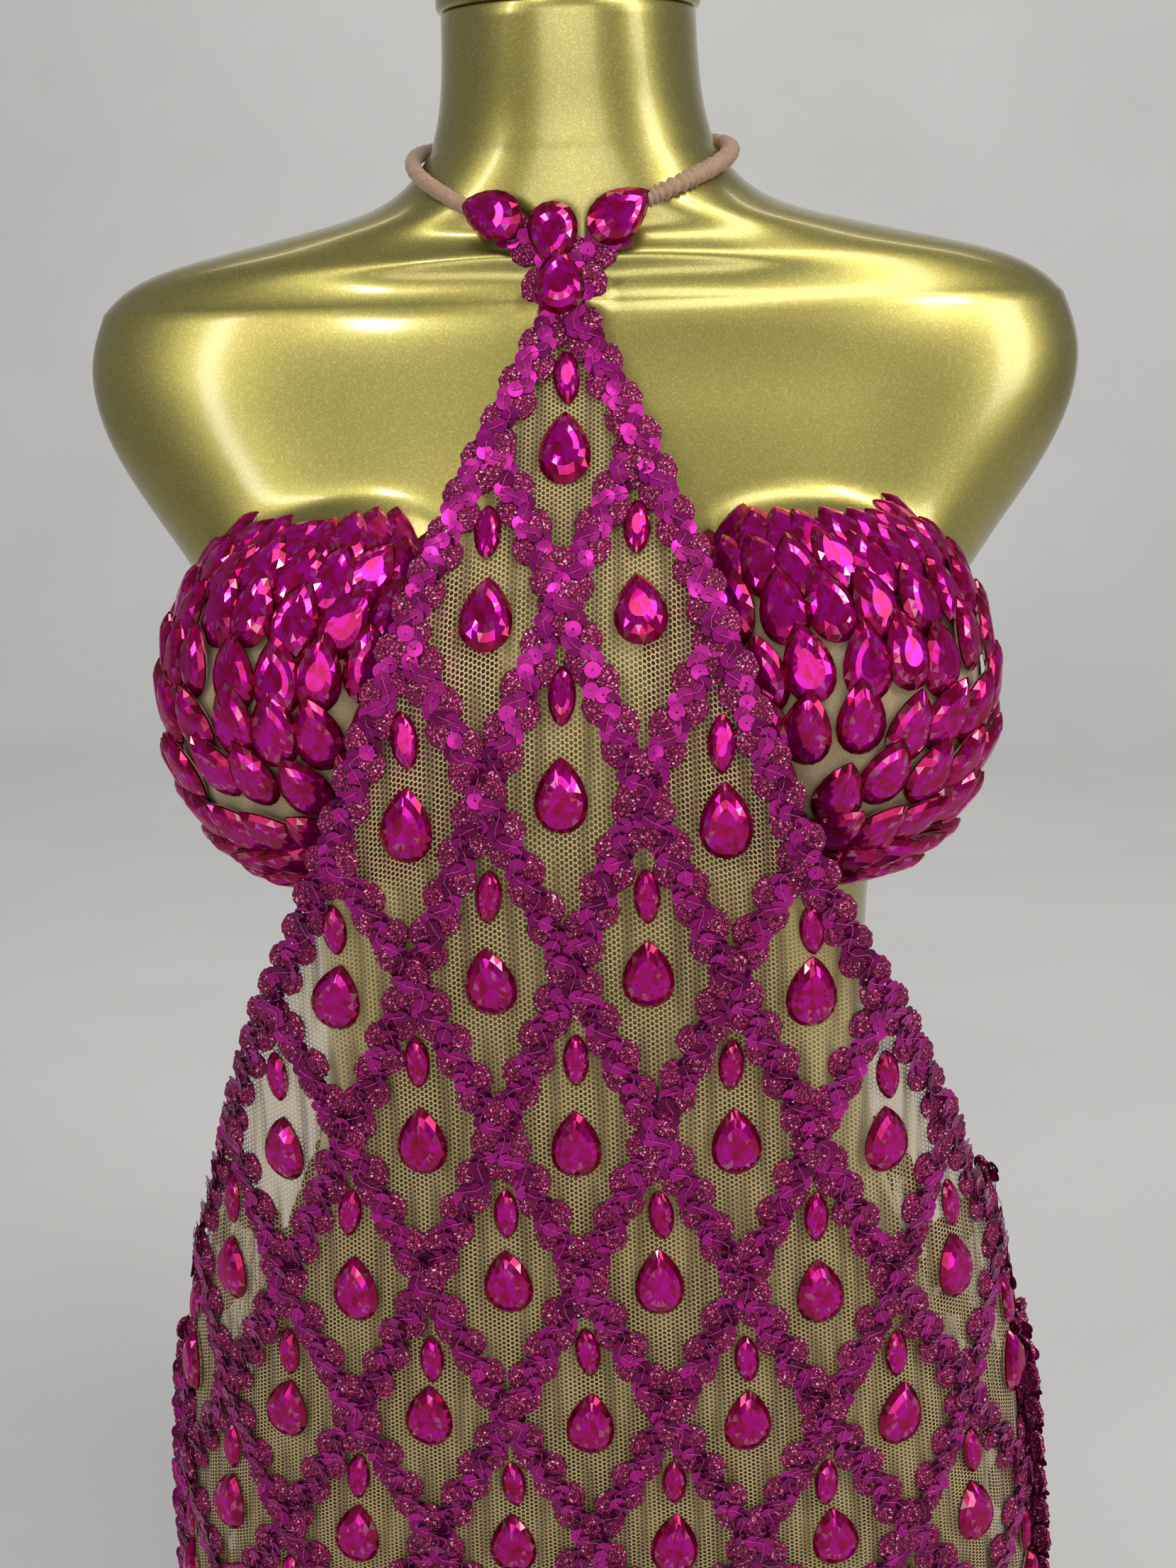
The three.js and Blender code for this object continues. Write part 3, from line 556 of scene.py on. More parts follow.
@dataclass(frozen=True)
class NudeNet(Finish):
    """Fine see-through net whose gathers are fuller, with painted shade: its holes carry a thin dark veil
    that stands for the net's shadow on what lies behind, and its threads are painted darker in the creases. A
    cell is in metres.
    """

    thread: Colour = (0.46, 0.34, 0.155, 1)
    # painted shade: the threads' colour deep in the creases
    painted_crease_shade: Colour = (0.25, 0.17, 0.07, 1)
    # painted shadow: the holes' colour and how much of it shows, a thin dark veil standing for the net's
    # shadow on what lies behind it
    painted_hole_shade: Colour = (0.09, 0.06, 0.02, 1)
    painted_shade_veil: float = 0.2
    cell: float = 0.0021
    thickness: float = 0.27

    def make(self, groups: EffectGroups) -> Material:
        """Builds the net from the shared groups.

        Args:
            groups: The shared effects.

        Returns:
            The material.
        """
        made, recipe, shader = self.start(Sheen_Weight=0.3)
        flat = recipe.node("ShaderNodeUVMap", uv_map="flat").outputs["UV"]
        gather = recipe.kept("gather")
        # the cover adds the gathers' fullness to the veil of painted shade in the holes
        fuller = recipe.math("ADD", recipe.math("MULTIPLY", gather, 0.5), self.painted_shade_veil)
        net = recipe.effect(groups.net, Flat=flat, Cell=self.cell, Thread=self.thickness, Gather=fuller)
        # the threads are painted darker with the creases' depth: painted crease shade
        tint = recipe.mix(recipe.stretch(gather, 0.0, 0.6, 0.0, 1.0), self.thread, self.painted_crease_shade)
        # the holes show the painted shade colour, the threads their own colour
        recipe.join(recipe.mix(net.outputs["Lines"], self.painted_hole_shade, tint), shader.inputs["Base Color"])
        recipe.join(net.outputs["Cover"], shader.inputs["Alpha"])
        return made


@dataclass(frozen=True)
class GimpYarn(Finish):
    """Knotted magenta yarn with a metallic thread in it, painted darker in the gaps between its strands as
    shade.
    """

    # painted shade in the gaps between the strands
    dark: Colour = (0.09, 0.0, 0.025, 1)
    bright: Colour = (0.62, 0.03, 0.22, 1)
    glitter: Colour = (1.0, 0.5, 0.65, 1)

    def make(self, groups: EffectGroups) -> Material:
        """Builds the yarn from the shared groups.

        Args:
            groups: The shared effects.

        Returns:
            The material.
        """
        made, recipe, shader = self.start()
        place = recipe.place()
        yarn = recipe.effect(groups.yarn, Place=place, Knots=620.0, Dark=self.dark, Bright=self.bright)
        sparkle = recipe.effect(groups.sparkle, Place=place, Grain=1500.0, Share=0.045,
                                Body=yarn.outputs["Colour"], Flake=self.glitter)
        recipe.join(sparkle.outputs["Colour"], shader.inputs["Base Color"])
        self.bump(recipe, shader, yarn.outputs["Height"], 0.9, 0.0006)
        return made


@dataclass(frozen=True)
class SatinSequin(Finish):
    """Satin metallic sequins, each a little different."""

    dark: Colour = (0.1, 0.001, 0.04, 1)
    bright: Colour = (0.42, 0.012, 0.25, 1)

    def make(self) -> Material:
        """Builds the sequins' film, brighter and smoother where a sequin's tone is high.

        Returns:
            The material.
        """
        made, recipe, shader = self.start()
        tone = recipe.kept("tone")
        recipe.join(recipe.mix(tone, self.dark, self.bright), shader.inputs["Base Color"])
        recipe.join(recipe.stretch(tone, 0.0, 1.0, 0.38, 0.24), shader.inputs["Roughness"])
        return made


@dataclass(frozen=True)
class FoiledStone(Finish):
    """Foil-backed fuchsia glass with painted reflection: each facet's tone paints how much of the foil's
    light it throws back, dark at the rim and bright in the heart, and a few facets catch the light with a
    full clear coat.
    """

    # painted reflection: tones from the dark rim through the middle to the bright heart stand for the foil's
    # light thrown back through the glass
    rim: Colour = (0.12, 0.0, 0.012, 1)
    middle: Colour = (0.29, 0.0, 0.055, 1)
    painted_reflection_heart: Colour = (0.4, 0.0, 0.27, 1)
    shine: Colour = (0.9, 0.08, 0.42, 1)

    def make(self) -> Material:
        """Builds the glass, clouded a little within each facet.

        Returns:
            The material.
        """
        made, recipe, shader = self.start(Specular_Tint=self.shine, Coat_IOR=1.8, Coat_Roughness=0.02)
        cloud = recipe.stretch(recipe.noise(recipe.place(), 160.0), 0.3, 0.7, -0.2, 0.2)
        # each facet's tone picks its painted reflection, and the cloud varies it a little
        depth = recipe.math("ADD", recipe.kept("tone"), cloud, clamp=True)
        low = recipe.mix(recipe.stretch(depth, 0.0, 0.5, 0.0, 1.0), self.rim, self.middle)
        full = recipe.mix(recipe.stretch(depth, 0.5, 1.0, 0.0, 1.0), low, self.painted_reflection_heart)
        recipe.join(full, shader.inputs["Base Color"])
        recipe.join(recipe.stretch(recipe.kept("crown"), 0.0, 1.0, 0.12, 1.0), shader.inputs["Coat Weight"])
        return made


@dataclass(frozen=True)
class PlainCloth(Finish):
    """Close stretch cloth with a fine rib."""

    tint: Colour = (0.33, 0.21, 0.13, 1)
    shade: Colour = (0.2, 0.115, 0.065, 1)
    rib: float = 900.0

    def make(self) -> Material:
        """Builds the cloth, whose rib both shades it and lifts it.

        Returns:
            The material.
        """
        made, recipe, shader = self.start(Sheen_Weight=0.25)
        place = recipe.place()
        fine = recipe.noise(place, self.rib)
        share = recipe.math("MULTIPLY", recipe.stretch(fine, 0.35, 0.65, 0.3, 1.0),
                            recipe.stretch(recipe.noise(place, 40.0), 0.3, 0.7, 0.6, 1.0))
        recipe.join(recipe.mix(share, self.shade, self.tint), shader.inputs["Base Color"])
        self.bump(recipe, shader, fine, 0.5, 0.0003)
        return made


@dataclass(frozen=True)
class PlainPaint(Finish):
    """A softly mottled surface, for silver foil and for the floor and the wall."""

    light: Colour = (0.8, 0.8, 0.8, 1)
    dark: Colour = (0.7, 0.7, 0.7, 1)
    scale: float = 4.0

    def make(self) -> Material:
        """Builds the paint.

        Returns:
            The material.
        """
        made, recipe, shader = self.start()
        cloud = recipe.stretch(recipe.noise(recipe.place(), self.scale, 3.0), 0.3, 0.7, 0.0, 1.0)
        recipe.join(recipe.mix(cloud, self.dark, self.light), shader.inputs["Base Color"])
        return made


@dataclass
class Wardrobe:
    """All finishes of the outfit."""

    groups: EffectGroups = field(default_factory=EffectGroups)

    def __post_init__(self) -> None:
        """Makes each material once."""
        self.gold = PearlLacquer("gold lacquer", 0.34, 1.0).make(self.groups)
        self.net = NudeNet("nude net", 0.75).make(self.groups)
        self.gimp = GimpYarn("gimp yarn", 0.42, 0.45).make(self.groups)
        self.sequin = SatinSequin("satin sequins", 0.25, 0.85).make()
        self.stone = FoiledStone("fuchsia stone", 0.1, 0.72).make()
        self.foil = PlainPaint("silver foil", 0.22, 0.95, light=(0.75, 0.72, 0.72, 1),
                               dark=(0.5, 0.46, 0.46, 1), scale=300.0).make()
        self.tube = PlainCloth("nude tube", 0.62).make()
        self.lining = PlainCloth("nude power mesh", 0.7, tint=(0.4, 0.31, 0.175, 1),
                                 shade=(0.28, 0.2, 0.1, 1), rib=1300.0).make()
        self.thread = PlainCloth("magenta thread", 0.4, 0.3, tint=(0.62, 0.06, 0.25, 1),
                                 shade=(0.3, 0.01, 0.1, 1), rib=2000.0).make()


# The torso form

TORSO = named_rows(
    "z half front back middle square",
    (0, 166, 58, 98, 0, 2.3), (55, 177, 63, 108, 0, 2.3), (110, 180, 68, 116, 0, 2.3),
    (170, 173, 76, 113, 0, 2.3), (225, 156, 82, 100, 0, 2.2), (285, 134, 84, 83, 0, 2.2),
    (340, 122, 82, 72, 0, 2.2), (390, 121, 80, 70, 0, 2.2), (440, 123, 80, 75, 0, 2.2),
    (490, 130, 82, 83, 1, 2.2), (540, 147, 82, 91, 3, 2.3), (583, 174, 78, 93, 5, 2.2),
    (610, 194, 73, 88, 8, 2.1), (635, 208, 68, 80, 10, 2.1), (660, 213, 63, 71, 10, 2.1),
    (680, 208, 58, 62, 10, 2.1), (690, 201, 54, 57, 10, 2.0), (698, 188, 51, 54, 10, 2.0),
    (704, 169, 49, 52, 9, 2.0), (711, 136, 48, 50, 9, 2.0), (723, 87, 49, 50, 9, 2.0),
    (740, 64, 50, 50, 9, 2.0), (757, 56, 51, 50, 8, 2.0), (777, 53, 52, 51, 5, 2.0),
    (800, 52, 53, 52, 2, 2.0))


@dataclass
class TorsoForm:
    """The limbless torso form: an oval at each height, softly joined to the bust.

    The cap's outline is given as radii from its middle and heights over the neck's top. Each ridge of the
    collarbones has a rise, a height over their middle and a spread.
    """

    neck_top: float = 800.0
    bust: tuple[float, float, float] = (98.0, -60.0, 530.0)
    bust_size: tuple[float, float, float] = (62.0, 60.0, 71.0)
    blend: float = 9.0
    turns: int = 180
    level: float = 4.0
    ridges: tuple[tuple[float, float, float], ...] = ((3.4, 0.0, 4.2), (-2.4, 11.0, 6.0), (-2.2, -13.0, 8.0))
    cap_outline: tuple[tuple[float, float], ...] = (
        (0.1, 0.3), (52.0, 0.3), (53.2, 0.8), (53.9, 2.2), (54.0, 9.5), (53.5, 11.8), (52.0, 13.3),
        (49.5, 14.1), (46.0, 14.3), (45.0, 13.7), (43.0, 13.6), (20.0, 14.2), (0.1, 14.3))
    cap_turns: int = 96
    bone: float = 703.0
    cap_back: float = 1.6

    def chest_radius(self, angle: Array, z: Array) -> Array:
        """Distance from the axis to the oval of the table.

        Args:
            angle: Angles round the axis.
            z: Heights.

        Returns:
            The distances, found by halving the span.
        """
        half, front, back, middle, square = (
            smooth_lookup(TORSO, "z", name, z) for name in ("half", "front", "back", "middle", "square"))
        low, high = np.zeros_like(angle), np.full_like(angle, 400.0)
        for _ in range(30):
            mid = (low + high) / 2
            y = -mid * np.cos(angle) - middle
            depth = np.where(y < 0, front, back)
            inside = (np.abs(mid * np.sin(angle)) / half) ** square + (np.abs(y) / depth) ** square < 1
            low, high = np.where(inside, mid, low), np.where(inside, high, mid)
        return low

    def bust_radius(self, angle: Array, z: Array, side: int) -> Array:
        """Distance from the axis to the far side of one half of the bust.

        Args:
            angle: Angles round the axis.
            z: Heights.
            side: 1 for the half at +X, -1 for the other.

        Returns:
            The distances, 0 beside the bust.
        """
        share = 1 - ((z - self.bust[2]) / self.bust_size[2]) ** 2
        dx, dy = np.sin(angle) / self.bust_size[0], -np.cos(angle) / self.bust_size[1]
        cx, cy = side * self.bust[0] / self.bust_size[0], self.bust[1] / self.bust_size[1]
        a, b = dx * dx + dy * dy, dx * cx + dy * cy
        root = b * b - a * (cx * cx + cy * cy - share)
        return np.where((share > 0) & (root > 0), (b + np.sqrt(np.maximum(root, 0))) / a, 0.0)

    def radius(self, angle: Array, z: Array) -> Array:
        """Distance from the axis to the form.

        Args:
            angle: Angles round the axis.
            z: Heights.

        Returns:
            The distances.
        """
        angle, z = np.broadcast_arrays(np.asarray(angle, float), np.asarray(z, float))
        chest = self.chest_radius(angle, z)
        bust = np.maximum(self.bust_radius(angle, z, 1), self.bust_radius(angle, z, -1))
        h = np.maximum(0, self.blend - np.abs(chest - bust)) / self.blend
        joined = np.maximum(chest, bust) + h * h * self.blend / 4
        return np.where(bust < chest - self.blend, chest, joined)

    def point(self, angle: Array, z: Array, offset: float = 0.0) -> Array:
        """Points on the form, moved out level by an offset."""
        angle, z = np.broadcast_arrays(np.asarray(angle, float), np.asarray(z, float))
        return around(self.radius(angle, z) + offset, angle, z)

    def normal(self, angle: Array, z: Array) -> Array:
        """Directions square to the form."""
        along = self.point(angle + 0.01, z) - self.point(angle - 0.01, z)
        return unit(np.cross(along, self.point(angle, z + 1) - self.point(angle, z - 1)))

    def build(self, wardrobe: Wardrobe) -> None:
        """Builds the smooth form with its collarbones, and its neck cap.

        Args:
            wardrobe: The finishes.
        """
        top = self.neck_top
        levels = np.concatenate([[0, 1.5, 4], np.arange(8, 684, self.level), np.arange(684, 745, 1.6),
                                 np.arange(746, top - 3, self.level), [top - 1, top]])
        angles, z = even_turn(self.turns), levels[:, None]
        radii = self.radius(angles[None, :], z)
        for _ in range(5):
            radii = (np.roll(radii, 1, 1) + 2 * radii + np.roll(radii, -1, 1)) / 4
            radii[4:-3] = (radii[3:-4] + 2 * radii[4:-3] + radii[5:-2]) / 4
        turn = np.degrees(np.abs((angles + math.pi) % (2 * math.pi) - math.pi))[None, :]
        span = np.clip((turn - 10) / 14, 0, 1) * np.clip((80 - turn) / 22, 0, 1)
        bone = self.bone - 0.0022 * (turn - 34) ** 2
        for rise, middle, spread in self.ridges:
            radii = radii + rise * span * np.exp(-(((z - bone - middle) / spread) ** 2))
        for ring, inset in ((0, 3.0), (1, 1.2), (-1, 0.8)):
            radii[ring] -= inset
        points = around(radii, angles, np.broadcast_to(z, radii.shape)).reshape(-1, 3)
        body = new_object("torso_form", points, tube_faces(len(levels), self.turns))
        settle(body, wardrobe.gold, "dress_form", True)
        angles = even_turn(self.cap_turns)
        rings = [around(radius, angles, np.full(self.cap_turns, top + height)) + (0, self.cap_back, 0)
                 for radius, height in self.cap_outline]
        faces = grid_faces(len(rings), self.cap_turns, closed=True)
        settle(new_object("neck_cap_disc", np.concatenate(rings), faces), wardrobe.gold, "neck_cap", True)


# The dress's surface

DRESS = named_rows(
    "z half front back square",
    (40, 192, 74, 131, 2.5), (110, 191, 80, 131, 2.5), (170, 187, 88, 128, 2.5), (225, 182, 96, 121, 2.5),
    (285, 175, 104, 112, 2.6), (350, 167, 112, 104, 2.8), (420, 162, 123, 100, 3.2),
    (458, 162, 131, 100, 3.6), (492, 166, 135.5, 100, 4.0), (530, 170, 136, 100, 4.2),
    (562, 168, 126, 100, 4.0), (592, 160, 106, 100, 3.6), (620, 150, 88, 100, 3.2),
    (650, 140, 70, 100, 3.0), (675, 130, 57, 100, 3.0), (700, 120, 50, 100, 3.0))
ROWS = named_rows(
    "row z width sag",
    (-1, 740, 58, 0), (0, 686, 58, 0), (1, 631, 58, 3), (2, 574, 59, 11), (3, 509, 60, 12), (4, 434, 62, 5),
    (5, 362, 63, 3), (6, 294, 65, 3), (7, 227, 67, 2), (8, 163, 69, 1), (9, 104, 70, 0), (10, 47, 70, 0),
    (11, 0, 70, 0))


@dataclass
class DressSurface:
    """The dress as it hangs, in lattice coordinates.

    The gather has the column of its middle, its spread in columns, its depth there and its depth behind.
    """

    cloth: float = 2.0
    columns: int = 14
    hem_row: int = 9
    hip_row: int = 7
    side_column: float = 3.25
    gather: tuple[float, float, float, float] = (4.0, 1.0, 10.0, 4.0)
    arc: int = 240
    level: float = 2.0
    back_square: float = 2.2

    def __post_init__(self) -> None:
        """Works out half ovals at even heights, as points at even shares of their length."""
        self.heights = np.arange(0.0, 761.0, self.level)
        angle = math.pi * np.arange(self.arc + 1) / self.arc
        front = angle < math.pi / 2
        self.oval = np.empty((len(self.heights), self.arc + 1, 2))
        self.total = np.empty(len(self.heights))
        for k, z in enumerate(self.heights):
            half, depth_front, depth_back, square = (
                float(smooth_lookup(DRESS, "z", name, z)) for name in ("half", "front", "back", "square"))
            power = np.where(front, 2 / square, 2 / self.back_square)
            x = half * np.abs(np.sin(angle)) ** power
            depth = np.where(front, depth_front, depth_back)
            y = -depth * np.sign(np.cos(angle)) * np.abs(np.cos(angle)) ** power
            run = running_length(np.stack([x, y], axis=-1))
            share = np.linspace(0, run[-1], self.arc + 1)
            self.oval[k] = np.stack([np.interp(share, run, x), np.interp(share, run, y)], axis=-1)
            self.total[k] = run[-1]

    def plain(self, column: Array, row: Array) -> Array:
        """Points of the smooth surface, before its gathers.

        Args:
            column: Columns round the dress.
            row: Rows down it.

        Returns:
            The points.
        """
        away = np.abs(column)
        side = np.where(column < 0, -1.0, 1.0)
        sag = smooth_lookup(ROWS, "row", "sag", row) * np.minimum(away, 2) ** 2
        z = smooth_lookup(ROWS, "row", "z", row) - sag
        level = np.clip(z / self.level, 0, len(self.heights) - 1.001)
        low = level.astype(int)
        part = level - low
        total = self.total[low] * (1 - part) + self.total[low + 1] * part
        width = smooth_lookup(ROWS, "row", "width", row)
        reach = self.side_column * width
        beyond = (away - self.side_column) * (total - reach) / (self.columns / 2 - self.side_column)
        share = np.where(away < self.side_column, away * width, reach + beyond) / total
        side = np.where(share > 1, -side, side)
        share = np.where(share > 1, 2 - share, share) * self.arc
        at = np.clip(share, 0, self.arc - 0.001)
        k = at.astype(int)
        t, part = (at - k)[..., None], part[..., None]
        lower = self.oval[low, k] * (1 - t) + self.oval[low, k + 1] * t
        upper = self.oval[low + 1, k] * (1 - t) + self.oval[low + 1, k + 1] * t
        flat = lower * (1 - part) + upper * part
        return np.stack([side * flat[..., 0], flat[..., 1], z], axis=-1)

    def folded(self, column: Array, row: Array) -> Array:
        """Points of the surface with the gathers at the hips.

        Args:
            column: Columns round the dress.
            row: Rows down it.

        Returns:
            The points.
        """
        middle, spread, depth, back_depth = self.gather
        away = np.abs(column)
        near = np.exp(-(((away - middle) / spread) ** 2))
        behind = np.where(away > middle, 1 - near, 0.0)
        wave = 0.5 + 0.5 * np.cos(2 * math.pi * (away - middle))
        fade = np.clip((row - self.hip_row + 1.6) / 1.2, 0, 1)
        points = self.plain(column, row)
        deep = (depth * near + back_depth * behind) * wave * fade
        return points + unit(points * (1, 1, 0)) * deep[..., None]

    def place(self, a: Array, b: Array, offset: object = 0.0) -> tuple[Array, Array]:
        """Points and outward directions of the dress.

        Args:
            a: Lattice coordinate down to the right.
            b: Lattice coordinate down to the left.
            offset: How far out of the inner side of the cloth, one number or one for each point.

        Returns:
            The points and the directions.
        """
        a, b = np.broadcast_arrays(np.asarray(a, float), np.asarray(b, float))
        row = a + b
        column = (a - b) / 2
        column = column - self.columns * np.round(column / self.columns * (1 - 1e-9))
        step = 0.02
        across = self.folded(column + step, row) - self.folded(column - step, row)
        down = self.folded(column, row + step) - self.folded(column, row - step)
        out = unit(np.cross(down, across))
        return self.folded(column, row) + out * np.asarray(offset, float)[..., None], out

    def cells(self, is_back: bool) -> list[tuple[int, int]]:
        """Diamonds of the front or the back panel.

        Args:
            is_back: Whether the back panel is wanted.

        Returns:
            The lattice coordinates of each diamond's top corner.
        """
        found = []
        for row in range(1, self.hem_row + 1):
            for twice in range(-self.columns, 2 * self.columns + 1):
                if (row - 1 + twice) % 2:
                    continue
                i, j, column = (row - 1 + twice) // 2, (row - 1 - twice) // 2, twice / 2
                on_back = row >= self.hip_row and self.side_column < column < self.columns - self.side_column
                on_front = i >= 0 and j >= 0 and abs(column) < self.side_column
                if on_back if is_back else on_front:
                    found.append((i, j))
        return found


@dataclass
class Creases:
    """Soft creases of the net, listed for one diamond and varied a little in each.

    Each stroke has a column and the rows of its ends, from the diamond's middle, and a depth. A crease's
    width is in columns.
    """

    seed: int = 7
    width: float = 0.031
    strokes: tuple[tuple[float, float, float, float], ...] = (
        (-0.30, -0.35, 0.45, 1.2), (-0.17, -0.75, 0.30, 1.6), (-0.05, -0.90, -0.25, 1.8),
        (0.07, -0.80, -0.30, 1.1), (0.16, -0.60, 0.40, 1.6), (0.29, -0.30, 0.50, 1.2),
        (-0.09, 0.30, 0.90, 1.6), (0.10, 0.25, 0.85, 1.5), (0.00, 0.35, 0.95, 1.0))

    def depth(self, column: Array, row: Array, cell: tuple[int, int]) -> Array:
        """Depth of the creases at places of one diamond.

        Args:
            column: Columns of the places.
            row: Their rows.
            cell: The diamond.

        Returns:
            The depths.
        """
        rng = np.random.default_rng(self.seed + 131 * (cell[0] + 50) + (cell[1] + 50))
        x, y = column - (cell[0] - cell[1]) / 2, row - (cell[0] + cell[1] + 1)
        total = np.zeros_like(x)
        for offset, start, end, deep in self.strokes:
            jitter = rng.uniform(-0.035, 0.035)
            lean = rng.uniform(-0.05, 0.05)
            line = x - offset - jitter - lean * y + 0.012 * np.sin(7 * y + 20 * jitter)
            along = np.clip((y - start) / 0.2, 0, 1) * np.clip((end - y) / 0.2, 0, 1)
            total += deep * rng.uniform(0.6, 1.1) * np.exp(-((line / self.width) ** 2)) * along
        return total


@dataclass
class NetPanel:
    """One panel of nude net: a thin sheet over its CAD wall's middle, with creases."""

    surface: DressSurface
    name: str
    node: str
    is_back: bool
    steps: int = 22
    inset: float = 0.3
    flat_cell: float = 66.0
    full_depth: float = 1.8
    creases: Creases = field(default_factory=Creases)

    def build(self, wardrobe: Wardrobe) -> Object:
        """Builds the sheet, its flat map and the depth of its gathers, which the net reads for their fullness
        and for painted crease shade.

        Args:
            wardrobe: The finishes.

        Returns:
            The panel.
        """
        n = self.steps
        numbers: dict[tuple[int, int], int] = {}
        faces: list[Array] = []
        deepest: dict[int, float] = {}
        quads = grid_faces(n + 1, n + 1)[:, [0, 3, 2, 1]]
        u, v = (grid.ravel() for grid in np.meshgrid(np.arange(n + 1), np.arange(n + 1), indexing="ij"))
        edge = np.minimum.reduce([u, v, n - u, n - v]) / n
        for i, j in self.surface.cells(self.is_back):
            ids = np.array([numbers.setdefault((i * n + p, j * n + q), len(numbers)) for p, q in zip(u, v)])
            a, b = i + u / n, j + v / n
            deep = self.creases.depth((a - b) / 2, a + b, (i, j)) * np.clip(edge / 0.06, 0, 1)
            for number, value in zip(ids.tolist(), deep.tolist()):
                deepest[number] = max(deepest.get(number, 0.0), value)
            faces.append(ids[quads])
        a, b = np.array(list(numbers), float).T / n
        depth = np.array([deepest[k] for k in range(len(numbers))])
        points, _ = self.surface.place(a, b, self.surface.cloth - self.inset - depth)
        made = new_object(self.name, points, np.concatenate(faces))
        keep_flat_map(made, np.stack([(a - b) / 2, a + b], axis=-1) * self.flat_cell * MM)
        keep_value(made, "gather", np.clip(depth / self.full_depth, 0, 1), "POINT")
        return settle(made, wardrobe.net, self.node, True)


# Sequin braid

@dataclass
class Thread:
    """A thin round strand along given lines."""

    radius: float
    sides: int = 6
    lead: tuple[float, float, float] = (0.31, 0.11, 0.94)

    def build(self, name: str, lines: list[Array]) -> Object:
        """Joins a tube round each line in one object.

        Args:
            name: The object's name.
            lines: Points of each line.

        Returns:
            The object.
        """
        points, faces, count = [], [], 0
        for line in lines:
            points.append(rings_round(line, self.lead, self.sides, self.radius))
            faces += [[corner + count for corner in face] for face in tube_faces(len(line), self.sides)]
            count += len(points[-1])
        return new_object(name, np.concatenate(points), faces)


@dataclass
class Line:
    """A line over the dress, with the outward direction at each of its points."""

    points: Array
    out: Array

    def __post_init__(self) -> None:
        """Measures the running length."""
        self.run = running_length(self.points)

    def read(self, values: Array, length: Array) -> Array:
        """Values kept along the line, read at given lengths."""
        return np.stack([np.interp(length, self.run, values[:, k]) for k in range(3)], axis=-1)

    def at(self, length: Array) -> tuple[Array, Array, Array, Array]:
        """The line at given lengths.

        Args:
            length: Lengths from its start.

        Returns:
            Places, forward directions, outward directions and directions to the side.
        """
        normal = unit(self.read(self.out, length))
        forward = square_to(self.read(self.points, length + 2) - self.read(self.points, length - 2), normal)
        return self.read(self.points, length), forward, normal, np.cross(normal, forward)


@dataclass
class LaidBraid:
    """Braid that has been laid: its scallops, its sequins and the lines of its sewing thread."""

    gimp: Copies = field(default_factory=Copies)
    chain: Copies = field(default_factory=Copies)
    threads: list[Array] = field(default_factory=list)

    def build(self, label: str, node: str, wardrobe: Wardrobe, stands_in: bool = True) -> list[Object]:
        """Makes the yarn, the sequins and the thread.

        Args:
            label: Start of the three names.
            node: The CAD node, hidden if the yarn stands for it.
            wardrobe: The finishes.
            stands_in: Whether the yarn stands for that node.

        Returns:
            The three pieces.
        """
        return [settle(self.gimp.build(f"{label}_gimp"), wardrobe.gimp, node, stands_in),
                settle(self.chain.build(f"{label}_sequins"), wardrobe.sequin, node),
                settle(Thread(0.17, 3).build(f"{label}_thread", self.threads), wardrobe.thread, node)]


